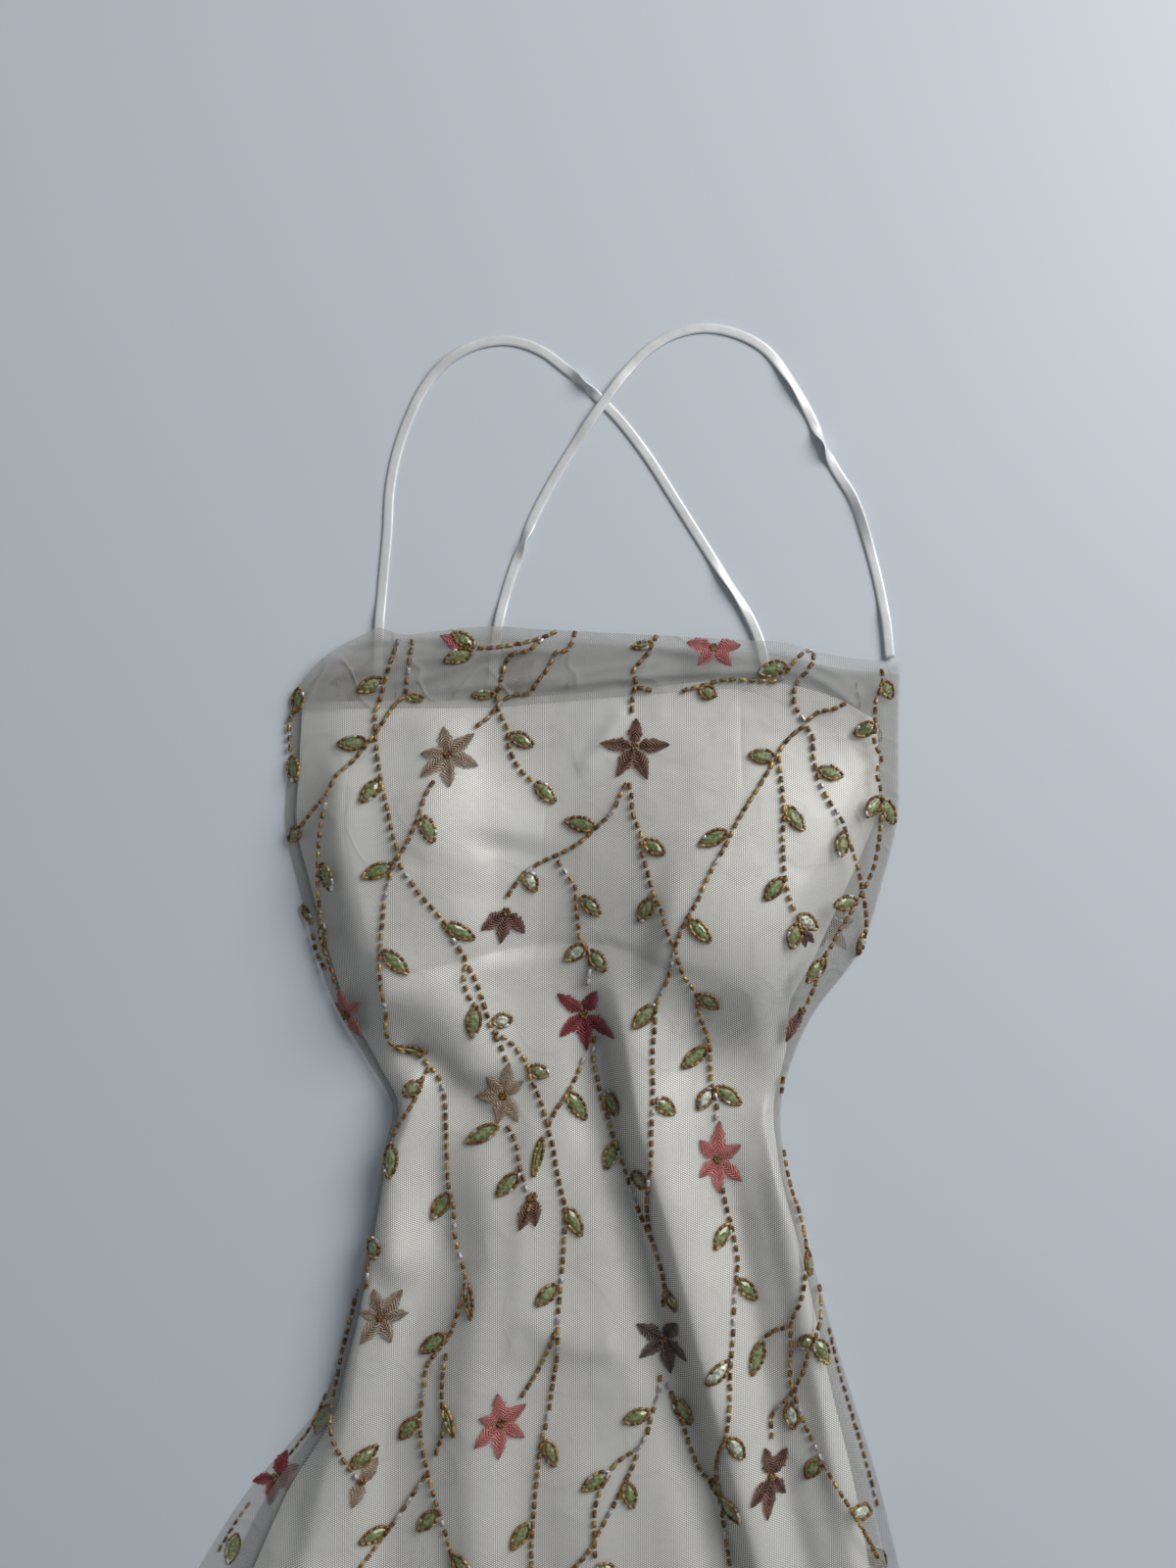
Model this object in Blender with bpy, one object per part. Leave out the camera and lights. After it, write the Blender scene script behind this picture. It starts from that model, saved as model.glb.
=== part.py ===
"""Empire-line evening gown with a net overlay, laid flat on its back, front up.

Run with: blender --background --python part.py

X is the wearer's left to right as seen from above, +Y runs to the neckline and +Z is up from the
surface the gown lies on. The outline is drawn in centimetres: x, and "drop", the distance down
from the neckline. Thicknesses and fold heights are in millimetres. Both are turned into metres
when a point is placed.
"""

import math

import bmesh
import bpy
import numpy as np
from mathutils import Vector

CM = 0.01
MM = 0.001

# ---------------------------------------------------------------- driving dimensions
NECK_TO_HEM = 135.7  # cm, neckline to the lowest point of the hem
STRAP_RISE = 20.45  # cm, top of the strap loops above the neckline
HEM_HALF_WIDTH = 37.4  # cm, half the hem laid flat
NET_WALL = 1.0  # mm
SATIN_WALL = 1.2  # mm
LAYER_GAP = 0.3  # mm, between layers that lie on each other
SEAM_GAP = 0.03  # cm, between pieces that are sewn together
STRAP_WIDTH = 6.8  # mm
STRAP_WALL = 1.6  # mm
LINING_SHORTER = 1.4  # cm, at the hem

NECK_Y = (NECK_TO_HEM + STRAP_RISE) / 2 - STRAP_RISE  # cm, so that the origin is mid-length

# Heights of the undersides above the surface, in mm, where the cloth lies flattest.
BACK_NET_Z = 0.0
BACK_SATIN_Z = BACK_NET_Z + NET_WALL + LAYER_GAP
FRONT_SATIN_Z = BACK_SATIN_Z + SATIN_WALL + LAYER_GAP
FRONT_NET_Z = FRONT_SATIN_Z + SATIN_WALL + 2 * LAYER_GAP
NET_EDGE_Z = BACK_NET_Z + NET_WALL + LAYER_GAP
TURNING_Z = FRONT_NET_Z - LAYER_GAP - NET_WALL


def through(*stations):
    """A smooth function through (where, value) stations, level beyond the first and the last."""
    where, value = np.array(stations, float).T
    slope = np.gradient(value, where)

    def at(place):
        place = np.clip(place, where[0], where[-1])
        i = np.clip(np.searchsorted(where, place) - 1, 0, len(where) - 2)
        run = where[i + 1] - where[i]
        t = (place - where[i]) / run
        start, end = value[i], value[i + 1]
        rise = (2 * t**3 - 3 * t**2 + 1) * start + (3 * t**2 - 2 * t**3) * end
        lean = (t**3 - 2 * t**2 + t) * slope[i] + (t**3 - t**2) * slope[i + 1]
        return rise + run * lean

    return at


# ---------------------------------------------------------------- outline, in cm
# (drop, x) down each side of the back net, which is the widest layer.
back_left = through(
    (4.4, -16.6), (8.8, -16.9), (13.3, -17.1), (16.3, -16.4), (20.2, -15.4), (25.0, -13.7),
    (28.5, -11.6), (31.5, -10.0), (34.0, -10.5), (37.5, -11.1), (42.8, -12.1), (48.2, -13.5),
    (51.2, -14.8), (56.9, -19.6), (62.1, -22.9), (70.0, -26.8), (82.0, -30.5), (100.0, -33.6),
    (NECK_TO_HEM, -HEM_HALF_WIDTH),
)
back_right = through(
    (2.1, 23.6), (8.0, 23.5), (12.0, 23.5), (16.0, 22.6), (21.5, 20.7), (25.4, 17.8),
    (28.0, 16.6), (31.5, 15.7), (35.0, 16.0), (41.2, 17.7), (48.6, 19.8), (56.0, 22.1),
    (62.1, 23.6), (72.0, 26.0), (85.0, 28.7), (105.0, 32.2), (NECK_TO_HEM, HEM_HALF_WIDTH),
)
# How far in from that each front layer's side edge lies, at a drop.
net_in_left = through(
    (30.0, 0.0), (44.0, 0.0), (48.0, 0.05), (54.0, 1.0), (60.0, 1.9), (80.0, 1.2), (NECK_TO_HEM, 0.6),
)
net_in_right = through((30.0, 0.0), (42.0, 0.1), (48.0, 0.4), (60.0, 0.8), (NECK_TO_HEM, 0.6))
satin_in_left = through(
    (4.4, 0.7), (28.0, 0.7), (32.0, 0.4), (44.0, 0.4), (48.0, 0.5), (54.0, 1.9), (58.0, 2.9), (62.0, 3.6),
    (80.0, 3.0), (NECK_TO_HEM, 2.0),
)
satin_in_right = through(
    (4.4, 1.5), (12.0, 1.5), (15.0, 2.0), (21.5, 2.8), (24.0, 2.3), (27.0, 0.9), (32.0, 0.5), (40.0, 0.6),
    (46.0, 0.9), (52.0, 1.4), (60.0, 1.9), (NECK_TO_HEM, 2.0),
)
# (x, drop) along the edges and the seam that cross the gown.
net_top = through(
    (-16.6, 4.3), (-15.4, 2.6), (-14.0, 1.4), (-12.0, 0.3), (-10.9, -0.2), (-9.5, 0.2),
    (-7.0, 0.0), (-4.0, -0.3), (0.0, -0.1), (6.0, 0.2), (13.0, 0.6), (16.0, 0.8), (18.0, 1.4),
    (23.6, 2.1),
)
satin_top = through(
    (-16.6, 4.7), (-10.0, 4.6), (-2.5, 4.5), (1.0, 4.2), (6.0, 3.8), (15.3, 3.4), (19.2, 4.4),
    (22.0, 5.8), (23.6, 6.2),
)
bust_seam = through(
    (-16.6, 24.3), (-13.0, 23.8), (-9.0, 22.5), (-5.0, 21.5), (0.5, 20.6), (4.3, 20.6),
    (8.2, 22.1), (12.3, 22.8), (16.0, 23.1), (20.0, 23.3),
)
hem_lift = through((-HEM_HALF_WIDTH, 3.4), (-24.0, 1.2), (0.0, 0.0), (24.0, 1.2), (HEM_HALF_WIDTH, 3.4))


def net_left(drop):
    return back_left(drop) + net_in_left(drop)


def net_right(drop):
    return back_right(drop) - net_in_right(drop)


def satin_left(drop):
    return back_left(drop) + satin_in_left(drop)


def satin_right(drop):
    return back_right(drop) - satin_in_right(drop)


# ---------------------------------------------------------------- folds and cups
# Each fold: height in mm (a trough is negative), half width in cm on its left and on its right,
# and its crest as (x, drop). It fades out at both ends, or runs on to the hem.
# The deep fold from under the bust to the hem.
MAIN_FOLD = (
    17.0, 1.1, 2.8,
    ((4.5, 21.0), (5.2, 24.5), (5.8, 30.0), (7.1, 35.0), (8.5, 40.0), (9.8, 45.0), (11.0, 50.0),
     (12.5, 55.0), (14.1, 61.0), (18.0, 85.0), (22.5, 136.0)),
)
FOLDS = (
    # down the left side of the bodice
    (3.5, 1.1, 1.6, ((-13.5, 7.5), (-13.2, 12.0), (-12.6, 17.0), (-11.4, 21.5), (-10.7, 25.0))),
    # slack cloth below the left cup, and the fold under it
    (-0.9, 1.2, 1.2, ((-9.2, 15.0), (-7.0, 14.3), (-4.5, 13.9), (-2.0, 14.4))),
    (-1.0, 1.2, 1.2, ((-9.4, 17.8), (-6.5, 17.0), (-3.5, 17.2), (-1.0, 18.6))),
    (9.0, 2.3, 2.5, ((-12.0, 23.2), (-8.8, 23.8), (-6.4, 25.0), (-4.6, 27.2), (-3.6, 30.4))),
    (-4.0, 2.4, 0.9, ((-9.8, 27.2), (-7.4, 28.4), (-5.2, 30.4), (-3.4, 32.6))),
    (3.5, 1.6, 2.6, ((-7.4, 4.6), (-7.2, 8.0), (-7.6, 12.0), (-8.2, 15.5))),
    # between the cups
    (-4.0, 1.5, 3.2, ((-2.4, 13.0), (-2.9, 16.0), (-2.9, 19.0), (-2.4, 22.0))),
    (2.0, 0.5, 0.6, ((5.6, 4.8), (4.2, 6.8), (2.2, 9.5))),
    # under the bust seam
    (-1.3, 0.5, 0.5, ((-13.0, 23.9), (-9.0, 22.6), (-5.0, 21.6), (0.5, 20.7), (4.3, 20.7), (8.2, 22.2),
                      (12.3, 22.9))),
    # below the right cup
    (9.5, 3.0, 4.8, ((6.0, 20.4), (9.0, 21.1), (12.0, 22.1), (15.0, 23.8), (16.4, 25.6))),
    (-5.5, 3.0, 2.6, ((8.5, 26.0), (11.5, 27.8), (14.0, 29.4), (15.8, 30.8))),
    # the skirt, from left to right
    (9.0, 1.2, 1.6, ((-7.8, 27.4), (-9.0, 31.5), (-9.8, 36.0), (-9.7, 40.0), (-9.5, 43.5))),
    (8.0, 1.2, 3.4, ((-10.2, 37.0), (-11.2, 42.0), (-12.2, 47.0), (-13.2, 52.0), (-14.6, 58.0), (-16.2, 66.0),
                      (-18.0, 95.0), (-19.5, 136.0))),
    (-5.0, 1.2, 2.2, ((-7.2, 30.5), (-7.2, 36.0), (-7.2, 41.0), (-8.4, 46.0), (-10.0, 51.0), (-10.2, 58.0),
                      (-10.6, 64.0), (-12.0, 95.0), (-13.0, 136.0))),
    (8.0, 1.8, 2.4, ((-3.7, 31.5), (-3.5, 37.0), (-3.4, 42.0), (-4.2, 47.0), (-4.7, 52.0), (-4.1, 62.0),
                     (-3.0, 95.0), (-2.0, 136.0))),
    (4.0, 1.0, 2.6, ((-0.4, 31.0), (-1.1, 38.0), (-1.2, 43.0), (-2.0, 49.0))),
    (3.0, 0.9, 2.4, ((-1.6, 44.2), (0.6, 46.2), (2.8, 47.0), (5.4, 46.8))),
    (4.0, 2.4, 2.4, ((1.8, 50.0), (2.6, 60.0), (4.5, 85.0), (6.0, 136.0))),
    (-11.0, 1.7, 1.0, ((2.0, 21.5), (3.0, 25.5), (3.8, 30.0), (4.8, 34.5), (6.1, 39.5), (7.4, 45.0),
                       (8.9, 50.0), (10.4, 55.0), (11.8, 60.5), (13.2, 66.0), (15.0, 95.0), (17.0, 136.0))),
    MAIN_FOLD,
    (-6.0, 1.1, 2.8, ((11.0, 49.0), (12.5, 55.0), (14.1, 61.0), (18.0, 85.0), (22.5, 136.0))),
    (-6.5, 1.8, 1.1, ((11.7, 32.5), (12.5, 38.0), (13.4, 43.0), (14.4, 49.0), (15.7, 56.0), (17.6, 64.0),
                      (21.4, 95.0), (26.5, 136.0))),
    (7.0, 1.0, 1.8, ((15.0, 31.0), (15.3, 36.0), (16.2, 41.0), (17.2, 46.0), (18.4, 51.0), (19.6, 56.0),
                     (23.0, 75.0), (30.0, 136.0))),
    # beyond the left side of the bodice's width
    (7.0, 2.6, 2.6, ((-15.5, 58.0), (-18.5, 68.0), (-22.0, 90.0), (-27.5, 136.0))),
    (-5.0, 2.0, 2.0, ((-13.5, 62.0), (-17.0, 85.0), (-22.0, 136.0))),
)
# Each cup: height in mm, centre (x, drop) and half sizes across and down, in cm.
CUPS = (
    (19.0, (-8.8, 16.8), (10.8, 13.5)),
    (20.0, (12.0, 17.2), (13.5, 13.0)),
)
CREST_PIECES = 20
FADE_LENGTH = 7.0  # cm over which a long fold grows; a short one takes a sixth of its length
cloth_loft = through((0.0, 3.0), (4.0, 5.0), (12.0, 7.0), (31.0, 8.0), (62.0, 8.5), (NECK_TO_HEM, 6.5))
# cm over which the front rises from its side seams, at a drop
edge_roll = through((10.0, 3.4), (22.0, 3.4), (31.0, 1.1), (50.0, 1.0), (62.0, 3.0), (NECK_TO_HEM, 3.0))


def smooth(t):
    t = np.clip(t, 0.0, 1.0)
    return t * t * (3 - 2 * t)


def fold_height(x, drop, height, left_width, right_width, crest):
    """How much one fold lifts the cloth, in mm. It grows from nothing at its ends."""
    crest = np.array(crest)
    along = np.concatenate([[0.0], np.cumsum(np.hypot(*np.diff(crest, axis=0).T))])
    steps = np.linspace(0.0, along[-1], CREST_PIECES + 1)
    line = np.stack([through(*zip(along, column))(steps) for column in crest.T], axis=-1)
    place = np.stack([x, drop], axis=-1)[..., None, :]
    run = np.diff(line, axis=0)
    share = np.clip(((place - line[:-1]) * run).sum(-1) / (run**2).sum(-1), 0.0, 1.0)
    off = place - line[:-1] - share[..., None] * run
    away = np.hypot(off[..., 0], off[..., 1])
    nearest = away.argmin(axis=-1)
    columns = np.arange(len(x))
    side = run[nearest, 0] * off[columns, nearest, 1] - run[nearest, 1] * off[columns, nearest, 0]
    width = np.where(side > 0, left_width, right_width)
    t = (nearest + share[columns, nearest]) / CREST_PIECES
    quick = max(6.0, along[-1] / FADE_LENGTH)
    runs_to_hem = crest[-1, 1] > NECK_TO_HEM
    fade = smooth(quick * t) * (1.0 if runs_to_hem else smooth(quick * (1 - t)))
    return height * fade * np.exp(-((away[columns, nearest] / width) ** 2))


def relief(x, drop):
    """Height of the front cloth above its flattest lie, in mm, before the side edges pull it down."""
    total = cloth_loft(drop)
    for fold in FOLDS:
        total = total + fold_height(x, drop, *fold)
    for height, (cx, cdrop), (across, down) in CUPS:
        r2 = ((x - cx) / across) ** 2 + ((drop - cdrop) / down) ** 2
        total = total + height * np.clip(1 - r2, 0, 1) ** 2
    return 0.5 * (total + np.sqrt(total**2 + 4.0))


def edge_rise(x, drop, left, right):
    """0 at the side edges and 1 where the cloth lies at its full height."""
    inside = np.minimum(x - left, right - x) / edge_roll(drop)
    return np.sin(0.5 * math.pi * np.clip(inside, 0.0, 1.0))


# ---------------------------------------------------------------- the front's shared points
# Shares of the satin's width at which the front has a column of points; three are its seams.
SIDE_SEAM_LEFT, CENTRE_SEAM, SIDE_SEAM_RIGHT = 0.09, 0.43, 0.76


def column_shares():
    """Column positions, closer together at the side edges."""
    left = [0.0, 0.03]
    cup_left = list(np.linspace(SIDE_SEAM_LEFT, CENTRE_SEAM, 8)[:-1])
    cup_right = list(np.linspace(CENTRE_SEAM, SIDE_SEAM_RIGHT, 8)[:-1])
    right = list(np.linspace(SIDE_SEAM_RIGHT, 0.95, 5)) + [0.98, 1.0]
    return np.array(left + cup_left + cup_right + right)


COLUMNS = column_shares()
FOLD_COLUMN = COLUMNS[np.abs(COLUMNS - 0.66).argmin()]  # the column that follows the deep fold down
main_fold_x = through(*((drop, x) for x, drop in MAIN_FOLD[3]))
BAND_ROWS = np.array([0.0, 0.35, 0.7])
BODICE_ROWS = np.linspace(0.0, 1.0, 9)
# Rows down the skirt: closer together where it shows most, the last but one at the lining's hem.
SKIRT_ROWS = np.concatenate([
    np.linspace(0.0, 0.35, 17)[1:], np.linspace(0.35, 1.0 - LINING_SHORTER / 114.0, 9)[1:], [1.0],
])
OUTER_STEPS = (0.0, 0.5)  # extra net columns, from its side edge to the satin's


def net_hem(x):
    return NECK_TO_HEM - hem_lift(x)


def crossing(side, start, end, down):
    """x where a side edge meets the line that lies a share of the way down from start to end."""
    drop = start(0.0) + down * (end(0.0) - start(0.0))
    for _ in range(12):
        x = side(drop)
        drop = start(x) + down * (end(x) - start(x))
    return x


def row_x(start, end, down):
    """x of every net column in a row, and how far in each is from the net's edge to the satin's.
    On the skirt the columns are drawn aside so that one of them runs along the deep fold."""
    outer_left, inner_left, inner_right, outer_right = (
        crossing(side, start, end, down) for side in (net_left, satin_left, satin_right, net_right)
    )
    left = [outer_left + k * (inner_left - outer_left) for k in OUTER_STEPS]
    right = [outer_right + k * (inner_right - outer_right) for k in reversed(OUTER_STEPS)]
    width = inner_right - inner_left
    pivot = FOLD_COLUMN
    if end is net_hem:
        crest = (crossing(main_fold_x, start, end, down) - inner_left) / width
        pivot += smooth(down / 0.1) * (crest - FOLD_COLUMN)
    inner = inner_left + np.interp(COLUMNS, (0.0, FOLD_COLUMN, 1.0), (0.0, pivot, 1.0)) * width
    steps = list(OUTER_STEPS) + [1.0] * len(COLUMNS) + list(reversed(OUTER_STEPS))
    return np.concatenate([left, inner, right]), np.array(steps)


def front_rows():
    """(x, drop, in) for each row of the front: its band, its bodice and its skirt."""
    spans = (
        (net_top, satin_top, BAND_ROWS),
        (satin_top, bust_seam, BODICE_ROWS),
        (bust_seam, net_hem, SKIRT_ROWS),
    )
    for start, end, rows in spans:
        for down in rows:
            x, inward = row_x(start, end, down)
            yield x, start(x) + down * (end(x) - start(x)), inward


def front_points():
    """Undersides of the satin and of the net at every shared point: arrays of x, drop, z."""
    satin, net = [], []
    for x, drop, inward in front_rows():
        lift = relief(x, drop)
        on_satin = edge_rise(x, drop, satin_left(drop), satin_right(drop))
        on_net = edge_rise(x, drop, net_left(drop), net_right(drop))
        satin.append(np.stack([x, drop, FRONT_SATIN_Z + on_satin * lift], axis=-1))
        edge_z = NET_EDGE_Z + inward * (FRONT_NET_Z - NET_EDGE_Z)
        net.append(np.stack([x, drop, edge_z + on_net * lift], axis=-1))
    return np.array(satin), np.array(net)


# ---------------------------------------------------------------- Blender helpers
def clear_scene():
    for obj in list(bpy.data.objects):
        bpy.data.objects.remove(obj)


def cloth_material(name, colour, roughness):
    material = bpy.data.materials.new(name)
    material.use_nodes = True
    shader = material.node_tree.nodes["Principled BSDF"]
    shader.inputs["Base Color"].default_value = (*colour, 1.0)
    shader.inputs["Roughness"].default_value = roughness
    shader.inputs["Metallic"].default_value = 0.0
    return material


def add_object(name, data, material, collection):
    data.materials.append(material)
    obj = bpy.data.objects.new(name, data)
    collection.objects.link(obj)
    return obj


def placed(x, drop, z):
    """A point of the gown in metres, from x and drop in cm and z in mm."""
    return Vector((x * CM, (NECK_Y - drop) * CM, z * MM))


def panel(name, points, wall, material, collection):
    """A cloth wall: a grid laid on the points, rows by columns of x, drop, z, and thickened upwards."""
    rows, columns = points.shape[:2]
    bm = bmesh.new()
    bmesh.ops.create_grid(bm, x_segments=columns - 1, y_segments=rows - 1, size=1.0)
    for vert in bm.verts:
        column = round((vert.co.x + 1) / 2 * (columns - 1))
        row = round((1 - vert.co.y) / 2 * (rows - 1))
        vert.co = placed(*points[row, column])
    bmesh.ops.triangulate(bm, faces=bm.faces[:], quad_method="FIXED")
    bottom = bm.faces[:]
    top = bmesh.ops.extrude_face_region(bm, geom=bottom, use_keep_orig=True)["geom"]
    risen = [item for item in top if isinstance(item, bmesh.types.BMVert)]
    bmesh.ops.translate(bm, verts=risen, vec=(0.0, 0.0, wall * MM))
    bmesh.ops.recalc_face_normals(bm, faces=bm.faces[:])
    mesh = bpy.data.meshes.new(name)
    bm.to_mesh(mesh)
    bm.free()
    mesh.shade_smooth()
    mesh.set_sharp_from_angle(angle=math.radians(40))
    return add_object(name, mesh, material, collection)


def flat_panel(name, outline, z, wall, material, collection):
    """A flat cloth wall of one outline of (x, drop) points, its underside at z."""
    curve = bpy.data.curves.new(name, "CURVE")
    curve.dimensions = "2D"
    curve.fill_mode = "BOTH"
    curve.extrude = wall / 2 * MM
    spline = curve.splines.new("POLY")
    spline.points.add(len(outline) - 1)
    for point, (x, drop) in zip(spline.points, outline):
        point.co = (*placed(x, drop, 0.0), 1.0)
    spline.use_cyclic_u = True
    obj = add_object(name, curve, material, collection)
    obj.location.z = (z + wall / 2) * MM
    return obj


def strap(name, route, material, collection):
    """A flat strap along a route of (x, drop, z of its underside) points."""
    curve = bpy.data.curves.new(name, "CURVE")
    curve.dimensions = "3D"
    curve.twist_mode = "Z_UP"
    curve.use_fill_caps = True
    curve.bevel_depth = STRAP_WALL / 2 * MM
    curve.bevel_resolution = 1
    curve.extrude = (STRAP_WIDTH - STRAP_WALL) / 2 * MM
    spline = curve.splines.new("POLY")
    spline.points.add(len(route) - 1)
    for point, (x, drop, z) in zip(spline.points, route):
        point.co = (*placed(x, drop, z + STRAP_WALL / 2), 1.0)
        point.tilt = math.pi / 2
    return add_object(name, curve, material, collection)


# ---------------------------------------------------------------- pieces
def build_front(satin_material, net_material, collection):
    satin, net = front_points()
    first = len(OUTER_STEPS)
    last = first + len(COLUMNS)
    shares = (SIDE_SEAM_LEFT, CENTRE_SEAM, SIDE_SEAM_RIGHT)
    seams = [first + int(np.abs(COLUMNS - share).argmin()) for share in shares]
    edges = [first, *seams, last - 1]
    top_row = len(BAND_ROWS)
    seam_row = top_row + len(BODICE_ROWS) - 1

    names = ("lining_side_left", "lining_cup_left", "lining_cup_right", "lining_side_right")
    for name, start, end in zip(names, edges[:-1], edges[1:]):
        points = satin[top_row : seam_row + 1, start : end + 1].copy()
        if start != first:
            points[:, 0, 0] += SEAM_GAP / 2
        if end != last - 1:
            points[:, -1, 0] -= SEAM_GAP / 2
        points[-1, :, 1] -= SEAM_GAP / 2
        panel(name, points, SATIN_WALL, satin_material, collection)

    skirt = satin[seam_row:-1, first:last].copy()
    skirt[0, :, 1] += SEAM_GAP / 2
    panel("lining_skirt", skirt, SATIN_WALL, satin_material, collection)

    panel("overlay_front", net, NET_WALL, net_material, collection)

    turning = net[: top_row + 1, first:last].copy()
    turning[..., 2] -= FRONT_NET_Z - TURNING_Z
    turning[-1, :, 1] -= SEAM_GAP
    panel("neck_turning", turning, NET_WALL, net_material, collection)


def back_outline(left, right, top, shorter, drops):
    """(x, drop) points round a back panel: down its left side, along its hem, up its right side and
    back along its top. The first of the drops is where its top corners stand."""
    along_hem = np.linspace(left(NECK_TO_HEM), right(NECK_TO_HEM), 13)
    along_top = np.linspace(right(drops[0]), left(drops[0]), 15)
    sides = drops[1:]
    points = [(left(drop), drop) for drop in sides]
    points += [(x, net_hem(x) - shorter) for x in along_hem]
    points += [(right(drop), drop) for drop in reversed(sides)]
    points += [(x, top(x)) for x in along_top]
    return points


BACK_NECK_DROP = 0.7  # cm, back neckline below the front one
BACK_SATIN_DROP = 6.2  # cm
# Drops at which the back panels' sides have a point.
BACK_SIDE_DROPS = (9, 13, 17, 21, 25, 28, 31.5, 35, 39, 43, 48, 52, 56, 60, 66, 73, 82, 95, 115)


def build_back(satin_material, net_material, collection):
    net = back_outline(
        back_left, back_right, lambda x: net_top(x) + BACK_NECK_DROP, 0.0, (4.5, *BACK_SIDE_DROPS)
    )
    flat_panel("overlay_back", net, BACK_NET_Z, NET_WALL, net_material, collection)
    drops = (BACK_SATIN_DROP, *BACK_SIDE_DROPS)
    satin = back_outline(satin_left, satin_right, lambda x: BACK_SATIN_DROP, LINING_SHORTER, drops)
    flat_panel("lining_back", satin, BACK_SATIN_Z, SATIN_WALL, satin_material, collection)


# (x, drop) along each strap, from its front end to its back end. They cross, the right one on top.
STRAP_LEFT = (
    (-11.0, 4.0), (-10.9, 0.0), (-10.7, -2.9), (-10.35, -6.8), (-10.2, -9.4), (-9.8, -11.6),
    (-9.0, -14.0), (-7.9, -16.2), (-6.4, -17.9), (-4.5, -19.0), (-2.3, -19.3), (-0.3, -18.7),
    (1.5, -17.4), (3.2, -15.9), (4.9, -14.2), (6.7, -11.9), (8.5, -9.1), (10.2, -6.4),
    (11.8, -3.9), (13.1, -1.9), (14.2, 0.4), (14.8, 2.9),
)
STRAP_RIGHT = (
    (22.9, 1.75), (22.7, -0.4), (22.2, -3.2), (21.4, -6.2), (20.4, -9.0), (19.2, -11.0),
    (18.3, -12.9), (17.4, -14.8), (16.1, -17.0), (14.6, -18.8), (12.7, -19.8), (10.7, -20.15),
    (8.8, -19.8), (6.9, -18.7), (5.3, -17.0), (3.9, -15.1), (2.2, -12.6), (0.6, -10.0),
    (-0.7, -7.5), (-1.7, -5.0), (-2.5, -2.6), (-3.1, 0.2), (-3.4, 3.7),
)
STRAP_STEP = 1.45  # cm between the points of a strap
CROSSING_LIFT = 2.0  # mm
CROSSING_REACH = 2.6  # cm either side of the crossing over which the upper strap is lifted


def strap_route(points, lift_at=None):
    """Points a step apart on a smooth line through the strap's own, lying on the surface, on the
    back net where it passes that, and lifted at the crossing."""
    points = np.array(points)
    along = np.concatenate([[0.0], np.cumsum(np.hypot(*np.diff(points, axis=0).T))])
    steps = np.linspace(0.0, along[-1], int(along[-1] / STRAP_STEP))
    x = through(*zip(along, points[:, 0]))(steps)
    drop = through(*zip(along, points[:, 1]))(steps)
    z = NET_EDGE_Z * smooth((drop + 2.4) / 1.8)
    if lift_at is not None:
        away = np.hypot(x - lift_at[0], drop - lift_at[1])
        z = z + CROSSING_LIFT * np.exp(-((away / CROSSING_REACH) ** 4))
    return list(zip(x, drop, z))


def main():
    clear_scene()
    collection = bpy.data.collections.new("evening_gown")
    bpy.context.scene.collection.children.link(collection)
    satin = cloth_material("ivory_satin", (0.78, 0.76, 0.70), 0.38)
    net = cloth_material("ivory_net", (0.72, 0.70, 0.64), 0.75)
    strap_satin = cloth_material("strap_satin", (0.80, 0.79, 0.75), 0.42)
    build_front(satin, net, collection)
    build_back(satin, net, collection)
    strap("strap_left", strap_route(STRAP_LEFT), strap_satin, collection)
    strap("strap_right", strap_route(STRAP_RIGHT, lift_at=(4.0, -15.2)), strap_satin, collection)


main()
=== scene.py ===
"""Looks of an ivory satin evening gown under a beaded and embroidered net overlay, laid on its back."""

import math
import random

import bpy
import numpy as np
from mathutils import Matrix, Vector


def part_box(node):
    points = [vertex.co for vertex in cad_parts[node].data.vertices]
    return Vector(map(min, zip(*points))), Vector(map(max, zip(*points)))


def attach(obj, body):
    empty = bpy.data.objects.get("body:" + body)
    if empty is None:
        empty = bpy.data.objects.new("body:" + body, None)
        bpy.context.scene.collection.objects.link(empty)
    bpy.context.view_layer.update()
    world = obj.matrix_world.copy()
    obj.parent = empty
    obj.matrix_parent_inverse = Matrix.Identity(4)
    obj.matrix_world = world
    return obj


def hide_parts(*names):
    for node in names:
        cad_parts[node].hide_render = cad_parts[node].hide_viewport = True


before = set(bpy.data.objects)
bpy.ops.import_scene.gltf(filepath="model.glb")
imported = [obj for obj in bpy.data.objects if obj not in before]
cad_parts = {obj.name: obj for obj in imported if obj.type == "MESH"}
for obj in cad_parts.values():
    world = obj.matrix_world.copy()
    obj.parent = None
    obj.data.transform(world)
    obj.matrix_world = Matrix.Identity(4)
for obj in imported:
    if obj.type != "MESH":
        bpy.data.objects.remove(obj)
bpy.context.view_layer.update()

CM = 0.01
MM = 0.001

# ---------------------------------------------------------------- the gown's own measures
# x is in cm across the gown. "drop" is in cm down from the neckline. Heights are in mm.
NECK_TO_HEM = 135.7
NECK_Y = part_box("overlay_back")[0].y / CM + NECK_TO_HEM
HEM_HALF_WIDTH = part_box("overlay_back")[1].x / CM


def middle_height(node):
    """Height in mm of the middle of a flat CAD panel."""
    low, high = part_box(node)
    return (low.z + high.z) / 2 / MM


BACK_NET_Z = middle_height("overlay_back")
BACK_SATIN_Z = middle_height("lining_back")
HALF_SATIN, HALF_NET = 0.6, 0.5  # mm, half the thickness of the CAD sheets
FRONT_SATIN_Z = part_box("lining_skirt")[0].z / MM + HALF_SATIN
NET_EDGE_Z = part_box("overlay_front")[0].z / MM + HALF_NET
NET_OVER_SATIN = 1.7
FRONT_NET_Z = FRONT_SATIN_Z + NET_OVER_SATIN
TURNING_UNDER_NET = 0.8


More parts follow.
